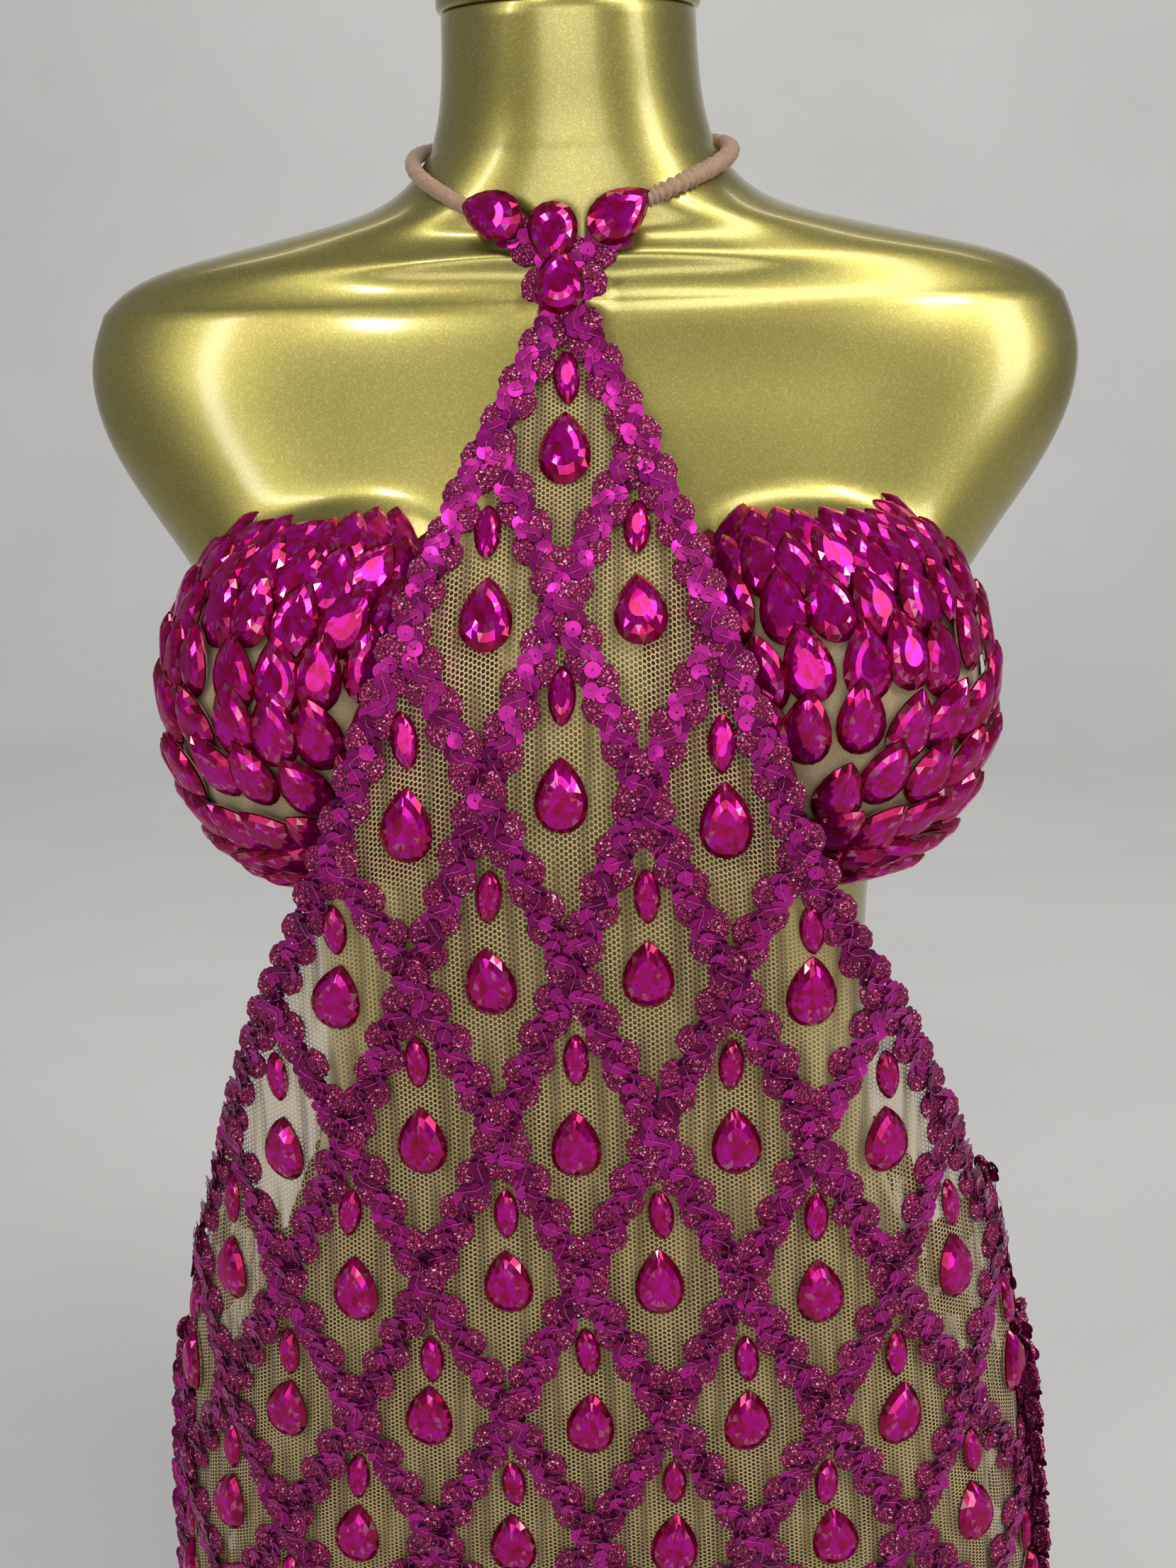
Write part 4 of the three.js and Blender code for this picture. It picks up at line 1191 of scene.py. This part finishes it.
@dataclass
class BraidMaker:
    """Sequin braid: knotted scallops on both sides of a line, with a chain of sequins winding between.

    The button's rings have a scale and a height, and the disc's have a radius and a height. Each hanging
    loop has its column, half its width in columns, the rows of its top and foot, and how far
    it stands off the dress.
    """

    surface: DressSurface
    pitch: float = 17.4
    sequin_pitch: float = 3.3
    base: float = 2.3
    sway: float = 3.6
    chain_sway: float = 3.5
    chain_lift: float = 3.3
    end_gap: float = 0.8
    unevenness: float = 0.25
    sides: int = 14
    button: tuple[tuple[float, float], ...] = (
        (1.0, 0.0), (1.04, 1.0), (0.93, 1.9), (0.74, 1.9), (0.64, 1.2), (0.54, 2.4), (0.36, 2.7),
        (0.22, 1.9), (0.02, 2.3))
    disc: tuple[tuple[float, float], ...] = ((3.2, 0.12), (0.45, 0.0))
    hanging: tuple[tuple[float, float, float, float, float], ...] = (
        (3.26, 0.05, 6.9, 10.05, 3.0), (3.23, 0.11, 7.1, 9.3, 4.2), (3.72, 0.10, 7.0, 9.6, 3.5))
    seed: int = 11

    def __post_init__(self) -> None:
        """Shapes one scallop, a low button with rings of yarn, and one sequin, a pierced disc."""
        self.rng = np.random.default_rng(self.seed)
        turn = even_turn(self.sides)
        buttons = []
        for k, (scale, lift) in enumerate(self.button):
            wave = np.cos(7 * turn + k * math.pi)
            reach = scale * (1 + 0.05 * wave)
            oval = (6.7 * reach * np.cos(turn), 5.3 * reach * np.sin(turn), lift + 0.25 * wave)
            buttons.append(np.stack(oval, axis=-1))
        discs = [np.stack([r * np.cos(turn), r * np.sin(turn), np.full(self.sides, z)], axis=-1)
                 for r, z in self.disc]
        self.scallop, self.sequin = (
            (np.concatenate(rings), grid_faces(len(rings), self.sides, closed=True))
            for rings in (buttons, discs))

    def edges(self, is_back: bool) -> set[tuple[str, int, int]]:
        """Edges of a panel's diamonds: which coordinate is held, its value, and the start of the other."""
        return {edge for i, j in self.surface.cells(is_back)
                for edge in (("a", i, j), ("a", i + 1, j), ("b", j, i), ("b", j + 1, i))}

    def runs(self, is_back: bool) -> list[tuple[str, int, float, float]]:
        """Straight lattice lines of a panel, without those that the other panel has.

        Args:
            is_back: Whether the back panel is wanted.

        Returns:
            For each line, which coordinate is held, its value, and the span of the other.
        """
        wanted = self.edges(is_back)
        if is_back:
            turn = self.surface.columns
            for kind, held, other in self.edges(False):
                wanted -= {(kind, held + shift, other - shift) for shift in (0, turn, -turn)}
        lines: dict[tuple[str, int], list[int]] = {}
        for kind, held, other in wanted:
            lines.setdefault((kind, held), []).append(other)
        found = []
        for (kind, held), others in sorted(lines.items()):
            others.sort()
            start = previous = others[0]
            for other in others[1:] + [10**6]:
                if other != previous + 1:
                    found.append((kind, held, float(start), float(previous + 1)))
                    start = other
                previous = other
        return found

    def trace(self, kind: str, held: float, start: float, end: float) -> Line:
        """One lattice line. Lines of kind b pass over the others at each crossing.

        Args:
            kind: Which coordinate is held.
            held: Its value.
            start: Where the other coordinate starts.
            end: Where it ends.

        Returns:
            The line.
        """
        t = np.linspace(start, end, int((end - start) * 16) + 2)
        fixed = np.full_like(t, held)
        over = 2.4 * np.exp(-(((t - np.round(t)) / 0.16) ** 2)) if kind == "b" else np.zeros_like(t)
        return Line(*self.surface.place(*((fixed, t) if kind == "a" else (t, fixed)), self.base + over))

    def lay(self, line: Line, laid: LaidBraid) -> None:
        """Lays braid along a line.

        Args:
            line: The line.
            laid: Takes the scallops, the sequins and the line of their thread.
        """
        rng, total = self.rng, line.run[-1]
        count = max(1, int(total / (self.pitch / 2)))
        step = total / count
        phase = rng.integers(0, 2)
        spot, forward, normal, side = line.at((np.arange(count) + 0.5) * step)
        side = side * np.where((np.arange(count) + phase) % 2, 1.0, -1.0)[:, None]
        origin = spot + side * self.sway + rng.normal(0, self.unevenness, (count, 3))
        tilt = unit(normal + side * 0.12 + rng.normal(0, 0.05, (count, 3)))
        axes = axes_on(tilt, forward + side * rng.uniform(-0.25, 0.05, (count, 1)))
        laid.gimp.add(*self.scallop, origin, axes, rng.uniform(0, 1, count))
        count = max(2, int(total / self.sequin_pitch))
        length = np.linspace(self.end_gap, total - self.end_gap, count)
        spot, forward, normal, side = line.at(length)
        swing = np.cos(math.pi * (length / step - 0.5) + math.pi * (1 - phase))[:, None]
        lift = self.chain_lift - 0.5 * np.abs(swing) + rng.uniform(0, 0.35, count)[:, None]
        origin = spot - side * swing * self.chain_sway + normal * lift
        face = unit(normal + forward * 0.2 + side * swing * 0.16 + rng.normal(0, 0.13, (count, 3)))
        laid.chain.add(*self.sequin, origin, axes_on(face, forward), rng.uniform(0, 1, count))
        wiggle = side * (0.5 * np.sin(np.arange(count) * 2.1))[:, None]
        laid.threads.append(origin + wiggle + normal * 0.45)

    def build(self, label: str, node: str, is_back: bool, wardrobe: Wardrobe) -> list[Object]:
        """Builds a panel's lattice of braid, which stands for its CAD node.

        Args:
            label: Start of the pieces' names.
            node: The CAD node.
            is_back: Whether it is the back panel's.
            wardrobe: The finishes.

        Returns:
            Its yarn, sequins and thread.
        """
        laid = LaidBraid()
        for run in self.runs(is_back):
            self.lay(self.trace(*run), laid)
        return laid.build(label, node, wardrobe)

    def hang_gathers(self, node: str, wardrobe: Wardrobe) -> list[Object]:
        """Hangs the back panel's loose edge at both hips: loops of braid on edge, gathered at the top.

        Args:
            node: The CAD node, which stays shown, as the gathers stand for no node.
            wardrobe: The finishes.

        Returns:
            Its yarn, sequins and thread.
        """
        laid = LaidBraid()
        t = np.linspace(-1, 1, 200)
        for side in (-1, 1):
            for middle, spread, top, foot, lift in self.hanging:
                row = top + (foot - top) * np.clip((np.abs(t) - 0.06) / 0.94, 0, 1)
                column = middle + spread * np.clip(t / 0.12, -1, 1) + 0.02 * np.sin(9 * t + 3 * side)
                a, b = row / 2 + side * column, row / 2 - side * column
                points, out = self.surface.place(a, b, self.base + lift)
                ahead = unit(np.gradient(points, axis=0))
                self.lay(Line(points, unit(0.7 * np.cross(ahead, out) + 0.8 * out)), laid)
        return laid.build("hip_gathers", node, wardrobe, False)


# Stones

class Cut(Enum):
    """Shapes of sew-on stone."""

    DROP = "drop"
    NAVETTE = "navette"


@dataclass
class StoneSet:
    """Faceted stones set on cloth, joined in one mesh, with silver foil round their feet.

    A stone has six levels of points, each with a scale, a share of the height and whether it lies between
    the outline's points. Its facets are written as corners, each with a level and a step to the side, and
    the lowest and highest tone of their painted reflection. The first facet is foil.
    """

    seed: int = 5
    sides: int = 20
    clear_share: float = 0.12
    levels: tuple[tuple[float, float, bool], ...] = (
        (0.93, 0.0, False), (1.0, 0.16, False), (1.0, 0.3, False), (0.84, 0.66, True), (0.62, 0.92, False),
        (0.4, 1.0, True))
    facets: tuple[tuple[tuple[tuple[int, int], ...], float, float], ...] = (
        (((0, 1), (0, 0), (1, 0), (1, 1)), 0.5, 0.5), (((1, 1), (1, 0), (2, 0), (2, 1)), 0.1, 0.1),
        (((2, 1), (2, 0), (3, 0)), 0.0, 0.45), (((2, 1), (3, 0), (3, 1)), 0.15, 0.6),
        (((3, 0), (4, 0), (4, 1)), 0.3, 0.95), (((4, 1), (4, 0), (5, 0)), 0.35, 1.0),
        (((4, 1), (5, 0), (5, 1)), 0.4, 1.0), (((3, 1), (3, 0), (4, 1)), 0.3, 0.95))

    def __post_init__(self) -> None:
        """Starts the seeded choice of facet tones."""
        self.rng = np.random.default_rng(self.seed)
        self.points, self.faces, self.tones, self.crowns, self.foiled, self.count = [], [], [], [], [], 0

    def outline(self, cut: Cut) -> Array:
        """Outline of a cut, one unit wide and 1.5 or 2 long, with its tip up.

        Args:
            cut: The shape.

        Returns:
            Points across and along.
        """
        t = even_turn(self.sides)
        if cut is Cut.NAVETTE:
            return np.stack([0.5 * np.sin(t) * np.abs(np.sin(t)) ** 0.25, np.cos(t)], axis=-1)
        return np.stack([0.56 * np.sin(t) * np.abs(np.sin(t / 2)) ** 0.62, 0.75 * np.cos(t)], axis=-1)

    def add(self, cut: Cut, origin: Array, normal: Array, up: Array, width: float, height: float,
            stretch: float = 1.0) -> None:
        """Adds one stone.

        Args:
            cut: Its shape.
            origin: The middle of its foot.
            normal: Out of the cloth.
            up: Where its tip points.
            width: Across, in millimetres.
            height: From its foot to its table.
            stretch: Length over the cut's usual length.
        """
        sides = self.sides
        up = square_to(up, normal)
        right = np.cross(up, normal)
        shape = self.outline(cut) * width * (1.0, stretch)
        middle = (shape + np.roll(shape, -1, axis=0)) / 2
        for scale, lift, is_between in self.levels:
            xy = (middle if is_between else shape) * scale
            self.points.append(origin + right * xy[:, :1] + up * xy[:, 1:] + normal * lift * height)
        self.points.append((origin + normal * height)[None])
        for k in range(sides):
            for number, (corners, low, high) in enumerate(self.facets):
                self.faces.append([self.count + sides * level + (k + step) % sides
                                   for level, step in corners])
                # painted reflection: each facet's tone is drawn between its lowest and highest
                self.tones.append(low if low == high else self.rng.uniform(low, high))
                self.foiled.append(int(number == 0))
        tip = self.count + sides * len(self.levels)
        for k in range(sides):
            # the table is split into wedges of painted reflection, like the star that the foil throws back
            tone = self.rng.uniform(0.4, 0.9) if k % 3 == 0 else self.tones[-1]
            self.faces.append([tip, tip - sides + (k + 1) % sides, tip - sides + k])
            self.tones.append(tone)
        self.foiled += [0] * sides
        self.crowns += [float(draw < self.clear_share) for draw in self.rng.random(sides * len(self.facets))]
        self.crowns += [0.0] * sides
        self.count = tip + 1

    def build(self, name: str, node: str, wardrobe: Wardrobe) -> Object:
        """Joins the stones in one flat-shaded piece.

        Args:
            name: The piece's name.
            node: The CAD node, which stays shown, as the stones stand for no node.
            wardrobe: The finishes.

        Returns:
            The piece.
        """
        made = new_object(name, np.concatenate(self.points), self.faces, smooth=False)
        keep_value(made, "tone", self.tones)
        keep_value(made, "crown", self.crowns)
        settle(made, wardrobe.stone, node)
        made.data.materials.append(wardrobe.foil)
        made.data.polygons.foreach_set("material_index", self.foiled)
        return made


@dataclass
class DressStones:
    """A drop and a navette in each diamond of the dress.

    Each size has its cut, the rows down from the diamond's middle, its width, its height and its stretch.
    """

    surface: DressSurface
    seed: int = 23
    foot: float = 2.1
    sizes: tuple[tuple[Cut, float, float, float, float], ...] = (
        (Cut.DROP, 0.03, 22.0, 6.2, 0.92), (Cut.NAVETTE, -0.45, 10.6, 4.0, 1.08))

    def build(self, label: str, node: str, is_back: bool, wardrobe: Wardrobe) -> Object:
        """Sets the stones of a panel, each turned and shifted a little as hand sewing leaves them.

        Args:
            label: The piece's name.
            node: The CAD node, which stays shown, as the stones stand for no node.
            is_back: Whether it is the back panel's.
            wardrobe: The finishes.

        Returns:
            The joined stones.
        """
        rng = np.random.default_rng(self.seed + is_back)
        stones = StoneSet(self.seed + is_back)
        for i, j in self.surface.cells(is_back):
            for cut, shift, width, height, stretch in self.sizes:
                half_row = (i + j + 1 + shift + rng.normal(0, 0.02)) / 2
                column = (i - j) / 2 + rng.normal(0, 0.012)
                a, b = half_row + column, half_row - column
                spot, out = self.surface.place(a, b, self.foot)
                above, _ = self.surface.place(a - 0.1, b - 0.1, self.foot)
                up = turned(above - spot, out, rng.normal(0, 0.07))
                stones.add(cut, spot, unit(out + rng.normal(0, 0.03, 3)), up, width, height, stretch)
        return stones.build(label, node, wardrobe)


# Bra

CUP_ROWS = named_rows(
    "height count inner outer rise fan",
    (-60, 8, -44, 80, 0, 60), (-49, 9, -60, 88, 3, 56), (-35, 10, -68, 92, 5, 42),
    (-18, 10, -69, 93, 7, 24), (-1, 11, -69, 93, 8, 8), (16, 11, -69, 93, 7, -8), (32, 10, -68, 92, 5, -20),
    (46, 10, -62, 90, 2, -28), (58, 9, -58, 86, 0, -34))


@dataclass
class Cup:
    """One cup: a nude mesh dome set with overlapping rows of drops, tips up and fanned.

    Its edges' angles and its grid's counts are given across and down. The drop has a width and a height.
    """

    form: TorsoForm
    side: int
    name: str
    node: str
    clear: float = 2.4
    across: tuple[float, float, int] = (-70, 98, 48)
    down: tuple[float, float, int] = (-62, 60, 36)
    drop: tuple[float, float] = (21.0, 5.6)
    seed: int = 31

    def point(self, longitude: Array, latitude: Array, offset: float) -> tuple[Array, Array]:
        """Places over this side of the bust, never inside the chest.

        Args:
            longitude: Degrees from the front, outward.
            latitude: Degrees up.
            offset: How far off the form.

        Returns:
            The points and their outward directions.
        """
        lon, lat = np.radians(longitude), np.radians(latitude)
        size, centre = np.array(self.form.bust_size), np.array(self.form.bust) * (self.side, 1, 1)
        direction = around(np.cos(lat), lon, np.sin(lat)) * (self.side, 1, 1)
        out = unit(direction / size)
        spot = centre + direction * size + out * offset
        angle = np.arctan2(spot[..., 0], -spot[..., 1])
        least = self.form.radius(angle, spot[..., 2]) + offset
        grow = np.maximum(least / np.hypot(spot[..., 0], spot[..., 1]), 1.0)
        return spot * np.stack([grow, grow, np.ones_like(grow)], axis=-1), out

    def build(self, wardrobe: Wardrobe) -> None:
        """Args:
            wardrobe: The finishes.
        """
        longitude, latitude = np.meshgrid(np.linspace(*self.across), np.linspace(*self.down), indexing="ij")
        outer, inner = (self.point(longitude, latitude, self.clear + lift)[0].reshape(-1, 3)
                        for lift in (1.4, 0.4))
        rows, columns = self.across[2], self.down[2]
        grid = np.arange(rows * columns).reshape(rows, columns)
        rim = np.concatenate([grid[0, :-1], grid[:-1, -1], grid[-1, :0:-1], grid[:0:-1, 0]]).tolist()
        after = rim[1:] + rim[:1]
        faces, count = grid_faces(rows, columns), len(outer)
        walls = [[here, there, there + count, here + count] for here, there in zip(rim, after)]
        dome = new_object(self.name, np.concatenate([outer, inner]),
                          faces.tolist() + (faces[:, ::-1] + count).tolist() + walls)
        settle(dome, wardrobe.lining, self.node, True)
        binding = Thread(1.3, 8).build(f"{self.name}_binding", [outer[rim + rim[:1]]])
        settle(binding, wardrobe.lining, self.node)
        stones = self.set_stones(wardrobe)

    def set_stones(self, wardrobe: Wardrobe) -> Object:
        """Sets the rows of drops from the lowest up, tips fanned inward above and outward below.

        Args:
            wardrobe: The finishes.

        Returns:
            The joined stones.
        """
        rng = np.random.default_rng(self.seed + self.side)
        stones = StoneSet(self.seed + self.side)
        for row in CUP_ROWS:
            for share in np.arange(row["count"]) / (row["count"] - 1):
                longitude = row["inner"] + (row["outer"] - row["inner"]) * share + rng.normal(0, 1.2)
                latitude = row["height"] + row["rise"] * (share - 0.5) + rng.normal(0, 1.5)
                spot, out = self.point(longitude, latitude, self.clear + 1.6)
                above, _ = self.point(longitude, latitude + 4, self.clear + 1.6)
                lean = -self.side * math.radians(row["fan"]) + rng.normal(0, 0.12)
                up = turned(unit(above - spot), out, lean)
                lifted = unit(out - up * 0.22 + rng.normal(0, 0.05, 3))
                stones.add(Cut.DROP, spot + out * 2.2, lifted, up, *self.drop)
        return stones.build(f"{self.name}_stones", self.node, wardrobe)


@dataclass
class BackBand:
    """Plain band from cup to cup round the back, with rolled edges."""

    form: TorsoForm
    low: float = 478.0
    high: float = 512.0
    start: float = 70.5
    steps: int = 121

    def stretched(self, angle: Array, z: float) -> Array:
        """Distance from the axis to a cord stretched round the form.

        Args:
            angle: Angles round the axis.
            z: The cord's height.

        Returns:
            The distances.
        """
        ring = np.radians(np.arange(-180.0, 180.0, 2.0))
        far = self.form.radius(ring, z)
        best = self.form.radius(angle, z)
        reaches = np.radians(2.0 * np.arange(1, 21))
        for before in reaches:
            for after in reaches:
                p = np.interp(angle - before, ring, far, period=2 * math.pi)
                q = np.interp(angle + after, ring, far, period=2 * math.pi)
                chord = p * q * math.sin(before + after) / (p * math.sin(before) + q * math.sin(after))
                best = np.maximum(best, chord)
        return best

    def build(self, wardrobe: Wardrobe) -> None:
        """Builds the band as a folded strip.

        Args:
            wardrobe: The finishes.
        """
        start = math.radians(self.start)
        angle = np.linspace(start, 2 * math.pi - start, self.steps)
        low, high = self.low, self.high
        section = [(low, 1.6), (low + 0.6, 2.5), (low + 3.5, 2.6), (low + 4.5, 2.2), (high - 4.5, 2.2),
                   (high - 3.5, 2.6), (high - 0.6, 2.5), (high, 1.6), (high - 1, 1.3), (low + 1, 1.3)]
        rings = [around(self.stretched(angle, z) + out, angle, np.full_like(angle, z)) for z, out in section]
        band = new_object("back_band", np.stack(rings, axis=1).reshape(-1, 3),
                          tube_faces(self.steps, len(section), True))
        settle(band, wardrobe.lining, "bra_band", True)


# Neck

@dataclass
class NeckHalter:
    """The padded tube round the neck, and the knot of braid and stones at the throat.

    The path has the tube's turns in degrees and heights. The crossing has places across and up for each
    braid. Each stone has its place across and up, its turn in degrees, its lift off the form and its stretch.
    """

    form: TorsoForm
    braid: BraidMaker
    sides: int = 18
    steps: int = 560
    lift: float = 4.4
    thickness: float = 3.35
    drop: tuple[float, float] = (21.5, 6.0)
    seed: int = 77
    path: tuple[tuple[float, float], ...] = (
        (46, 721), (90, 741), (135, 750), (180, 753), (225, 750), (270, 741), (324, 722))
    crossing: tuple[tuple[tuple[float, float], ...], ...] = (
        ((-24, 714), (-14, 708), (2, 698), (9, 688)), ((22, 713), (12, 706), (-4, 697), (-10, 687)))
    stones: tuple[tuple[float, float, float, float, float], ...] = (
        (-26, 719, 74, 4.0, 0.94), (19, 718, -56, 4.0, 0.94), (-4, 710, 180, 5.5, 0.82),
        (-1.5, 692, 2, 7.0, 0.78))

    def throat(self, x: Array, z: Array, lift: float) -> tuple[Array, Array]:
        """Places in front of the throat, standing off the chest towards the dress's point.

        Args:
            x: Places across.
            z: Heights.
            lift: How far off.

        Returns:
            The points and their outward directions.
        """
        angle = np.arctan2(x, 50.0)
        for _ in range(8):
            angle = np.arctan2(x, -self.form.point(angle, z)[..., 1])
        spot = self.form.point(angle, z, 2.3)
        spot[..., 1] -= 8.5 * np.clip((724 - z) / 24, 0, 2)
        out = unit(np.stack([np.sin(angle) * 0.8, -np.cos(angle), np.full_like(angle, 0.15)], axis=-1))
        return spot + out * lift, out

    def build(self, wardrobe: Wardrobe) -> None:
        """Builds the ruched tube, the crossing braids and the four stones.

        Args:
            wardrobe: The finishes.
        """
        table = named_rows("turn z", *self.path)
        turn = np.linspace(self.path[0][0], self.path[-1][0], self.steps)
        z, angle = smooth_lookup(table, "turn", "z", turn), -np.radians(turn)
        line = self.form.point(angle, z) + self.form.normal(angle, z) * self.lift
        share = np.linspace(0, 1, self.steps)
        ruche = 0.5 * np.clip((share - 0.5) * 6, 0, 1) * np.sin(share * 640 + 2 * np.sin(share * 90))
        radius = self.thickness + ruche - 0.4 * np.clip(0.3 - share, 0, 0.3)
        swirl = 0.12 * np.sin(3 * even_turn(self.sides)[None, :] + share[:, None] * 300)
        points = rings_round(line, unit(line * (1, 1, 0)), self.sides, (radius[:, None] + swirl)[..., None])
        tube = new_object("neck_tube", points, tube_faces(self.steps, self.sides, True))
        settle(tube, wardrobe.tube, "neck_strap", True)
        laid = LaidBraid()
        for stops in self.crossing:
            x, z = np.array(stops, float).T
            t, spread = np.linspace(0, len(stops) - 1, 40), np.arange(len(stops))
            self.braid.lay(Line(*self.throat(np.interp(t, spread, x), np.interp(t, spread, z), 1.0)), laid)
        laid.build("knot", "neck_knot", wardrobe)
        stones = StoneSet(self.seed)
        for x, z, degrees, lift, stretch in self.stones:
            spot, out = self.throat(float(x), float(z), lift)
            up = turned((0, 0, 1), out, math.radians(degrees))
            stones.add(Cut.DROP, spot, out, up, *self.drop, stretch)
        stones.build("knot_stones", "neck_knot", wardrobe)


# Studio

@dataclass(frozen=True)
class SoftBox:
    """A rectangular light that faces a target."""

    name: str
    place: tuple[float, float, float]
    target: tuple[float, float, float]
    size: tuple[float, float]
    power: float
    tint: tuple[float, float, float]

    def build(self) -> None:
        """Adds the light to the scene."""
        data = bpy.data.lights.new(self.name, "AREA")
        data.shape = "RECTANGLE"
        data.size, data.size_y = self.size
        data.energy = self.power
        data.color = self.tint
        made = bpy.data.objects.new(self.name, data)
        made.location = self.place
        made.rotation_euler = (Vector(self.target) - Vector(self.place)).to_track_quat("-Z", "Y").to_euler()
        bpy.context.scene.collection.objects.link(made)


@dataclass
class Studio:
    """Floor, wall, lights and camera, in metres and degrees."""

    distance: float = 0.935
    height: float = 0.693
    azimuth: float = 3.8
    pitch: float = 13.0
    roll: float = -1.5
    lens: float = 50.0
    half_width: float = 4.0
    bend: float = 0.9
    bend_start: float = 2.2
    air: Colour = (0.8, 0.82, 0.85, 1)
    air_strength: float = 0.36
    boxes: tuple[SoftBox, ...] = (
        SoftBox("window strip", (-1.5, -1.3, 1.35), (0, 0, 0.6), (0.18, 1.3), 9, (1.0, 0.99, 0.96)),
        SoftBox("ceiling panel", (0.5, -0.9, 2.3), (0, 0, 0.5), (1.3, 0.6), 13, (1.0, 0.985, 0.95)),
        SoftBox("side panel", (1.7, -0.8, 1.1), (0, 0, 0.5), (0.5, 1.2), 11, (1.0, 1.0, 1.0)),
        SoftBox("front fill", (0.1, -2.4, 0.45), (0, 0, 0.2), (2.2, 1.4), 23, (1.0, 0.99, 0.97)),
        SoftBox("left spot", (-0.75, -1.6, 1.9), (0, 0, 0.6), (0.16, 0.22), 6, (1.0, 1.0, 0.98)),
        SoftBox("right window", (1.15, -1.0, 1.75), (0, 0, 0.5), (0.4, 0.4), 10, (1.0, 1.0, 0.99)),
        SoftBox("wall wash", (0.0, 1.0, 2.6), (0, 3.0, 0.9), (2.6, 0.6), 30, (1.0, 0.98, 0.95)))

    def build(self) -> None:
        """Sets up the room."""
        paint = PlainPaint("floor paint", 0.6, 0.0, (0.62, 0.61, 0.6, 1), (0.58, 0.57, 0.56, 1), 3.0).make()
        sweep = [(-3.0, 0.0), *((self.bend_start + self.bend * math.sin(t), self.bend * (1 - math.cos(t)))
                                for t in np.linspace(0, math.pi / 2, 14)), (self.bend_start + self.bend, 4.0)]
        points = np.array([[x, y, z] for y, z in sweep for x in (-self.half_width, self.half_width)]) / MM
        room = new_object("room_sweep", points, grid_faces(len(sweep), 2))
        room.data.materials.append(paint)
        for box in self.boxes:
            box.build()
        scene = bpy.context.scene
        scene.view_settings.view_transform = "Standard"
        scene.world = bpy.data.worlds.new("studio air")
        scene.world.use_nodes = True
        background = scene.world.node_tree.nodes["Background"]
        background.inputs["Color"].default_value = self.air
        background.inputs["Strength"].default_value = self.air_strength
        data = bpy.data.cameras.new("camera")
        data.lens = self.lens
        data.sensor_width = 36.0
        camera = bpy.data.objects.new("camera", data)
        turn = math.radians(self.azimuth)
        spin = (Matrix.Rotation(turn, 4, "Z") @ Matrix.Rotation(math.radians(90 - self.pitch), 4, "X")
                @ Matrix.Rotation(math.radians(self.roll), 4, "Z"))
        place = Vector((self.distance * math.sin(turn), -self.distance * math.cos(turn), self.height))
        camera.matrix_world = Matrix.Translation(place) @ spin
        scene.collection.objects.link(camera)
        scene.camera = camera


def main() -> None:
    """Builds the outfit on its form, in order."""
    logging.basicConfig(level=logging.INFO, format="%(name)s %(message)s")
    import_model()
    Studio().build()
    wardrobe = Wardrobe()
    form = TorsoForm()
    form.build(wardrobe)
    surface = DressSurface()
    braid = BraidMaker(surface)
    for side, is_back, flat, area, rests_on in (
            ("front", False, (0.48, 0.7), 0.18, ["neck_knot", "right_cup_stones", "left_cup_stones"]),
            ("back", True, (0.56, 0.26), 0.097, ["front_net"])):
        net = NetPanel(surface, f"{side}_net", f"{side}_panel", is_back).build(wardrobe)
        sewn = braid.build(f"{side}_braid", f"braid_{side}", is_back, wardrobe)
        sewn.append(DressStones(surface).build(f"{side}_stones", f"{side}_panel", is_back, wardrobe))
        if is_back:
            sewn += braid.hang_gathers("braid_back", wardrobe)
        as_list(rests_on)
        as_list(sewn)
    Cup(form, 1, "right_cup", "cup_right").build(wardrobe)
    Cup(form, -1, "left_cup", "cup_left").build(wardrobe)
    BackBand(form).build(wardrobe)
    NeckHalter(form, braid).build(wardrobe)


if __name__ == "__main__":
    main()
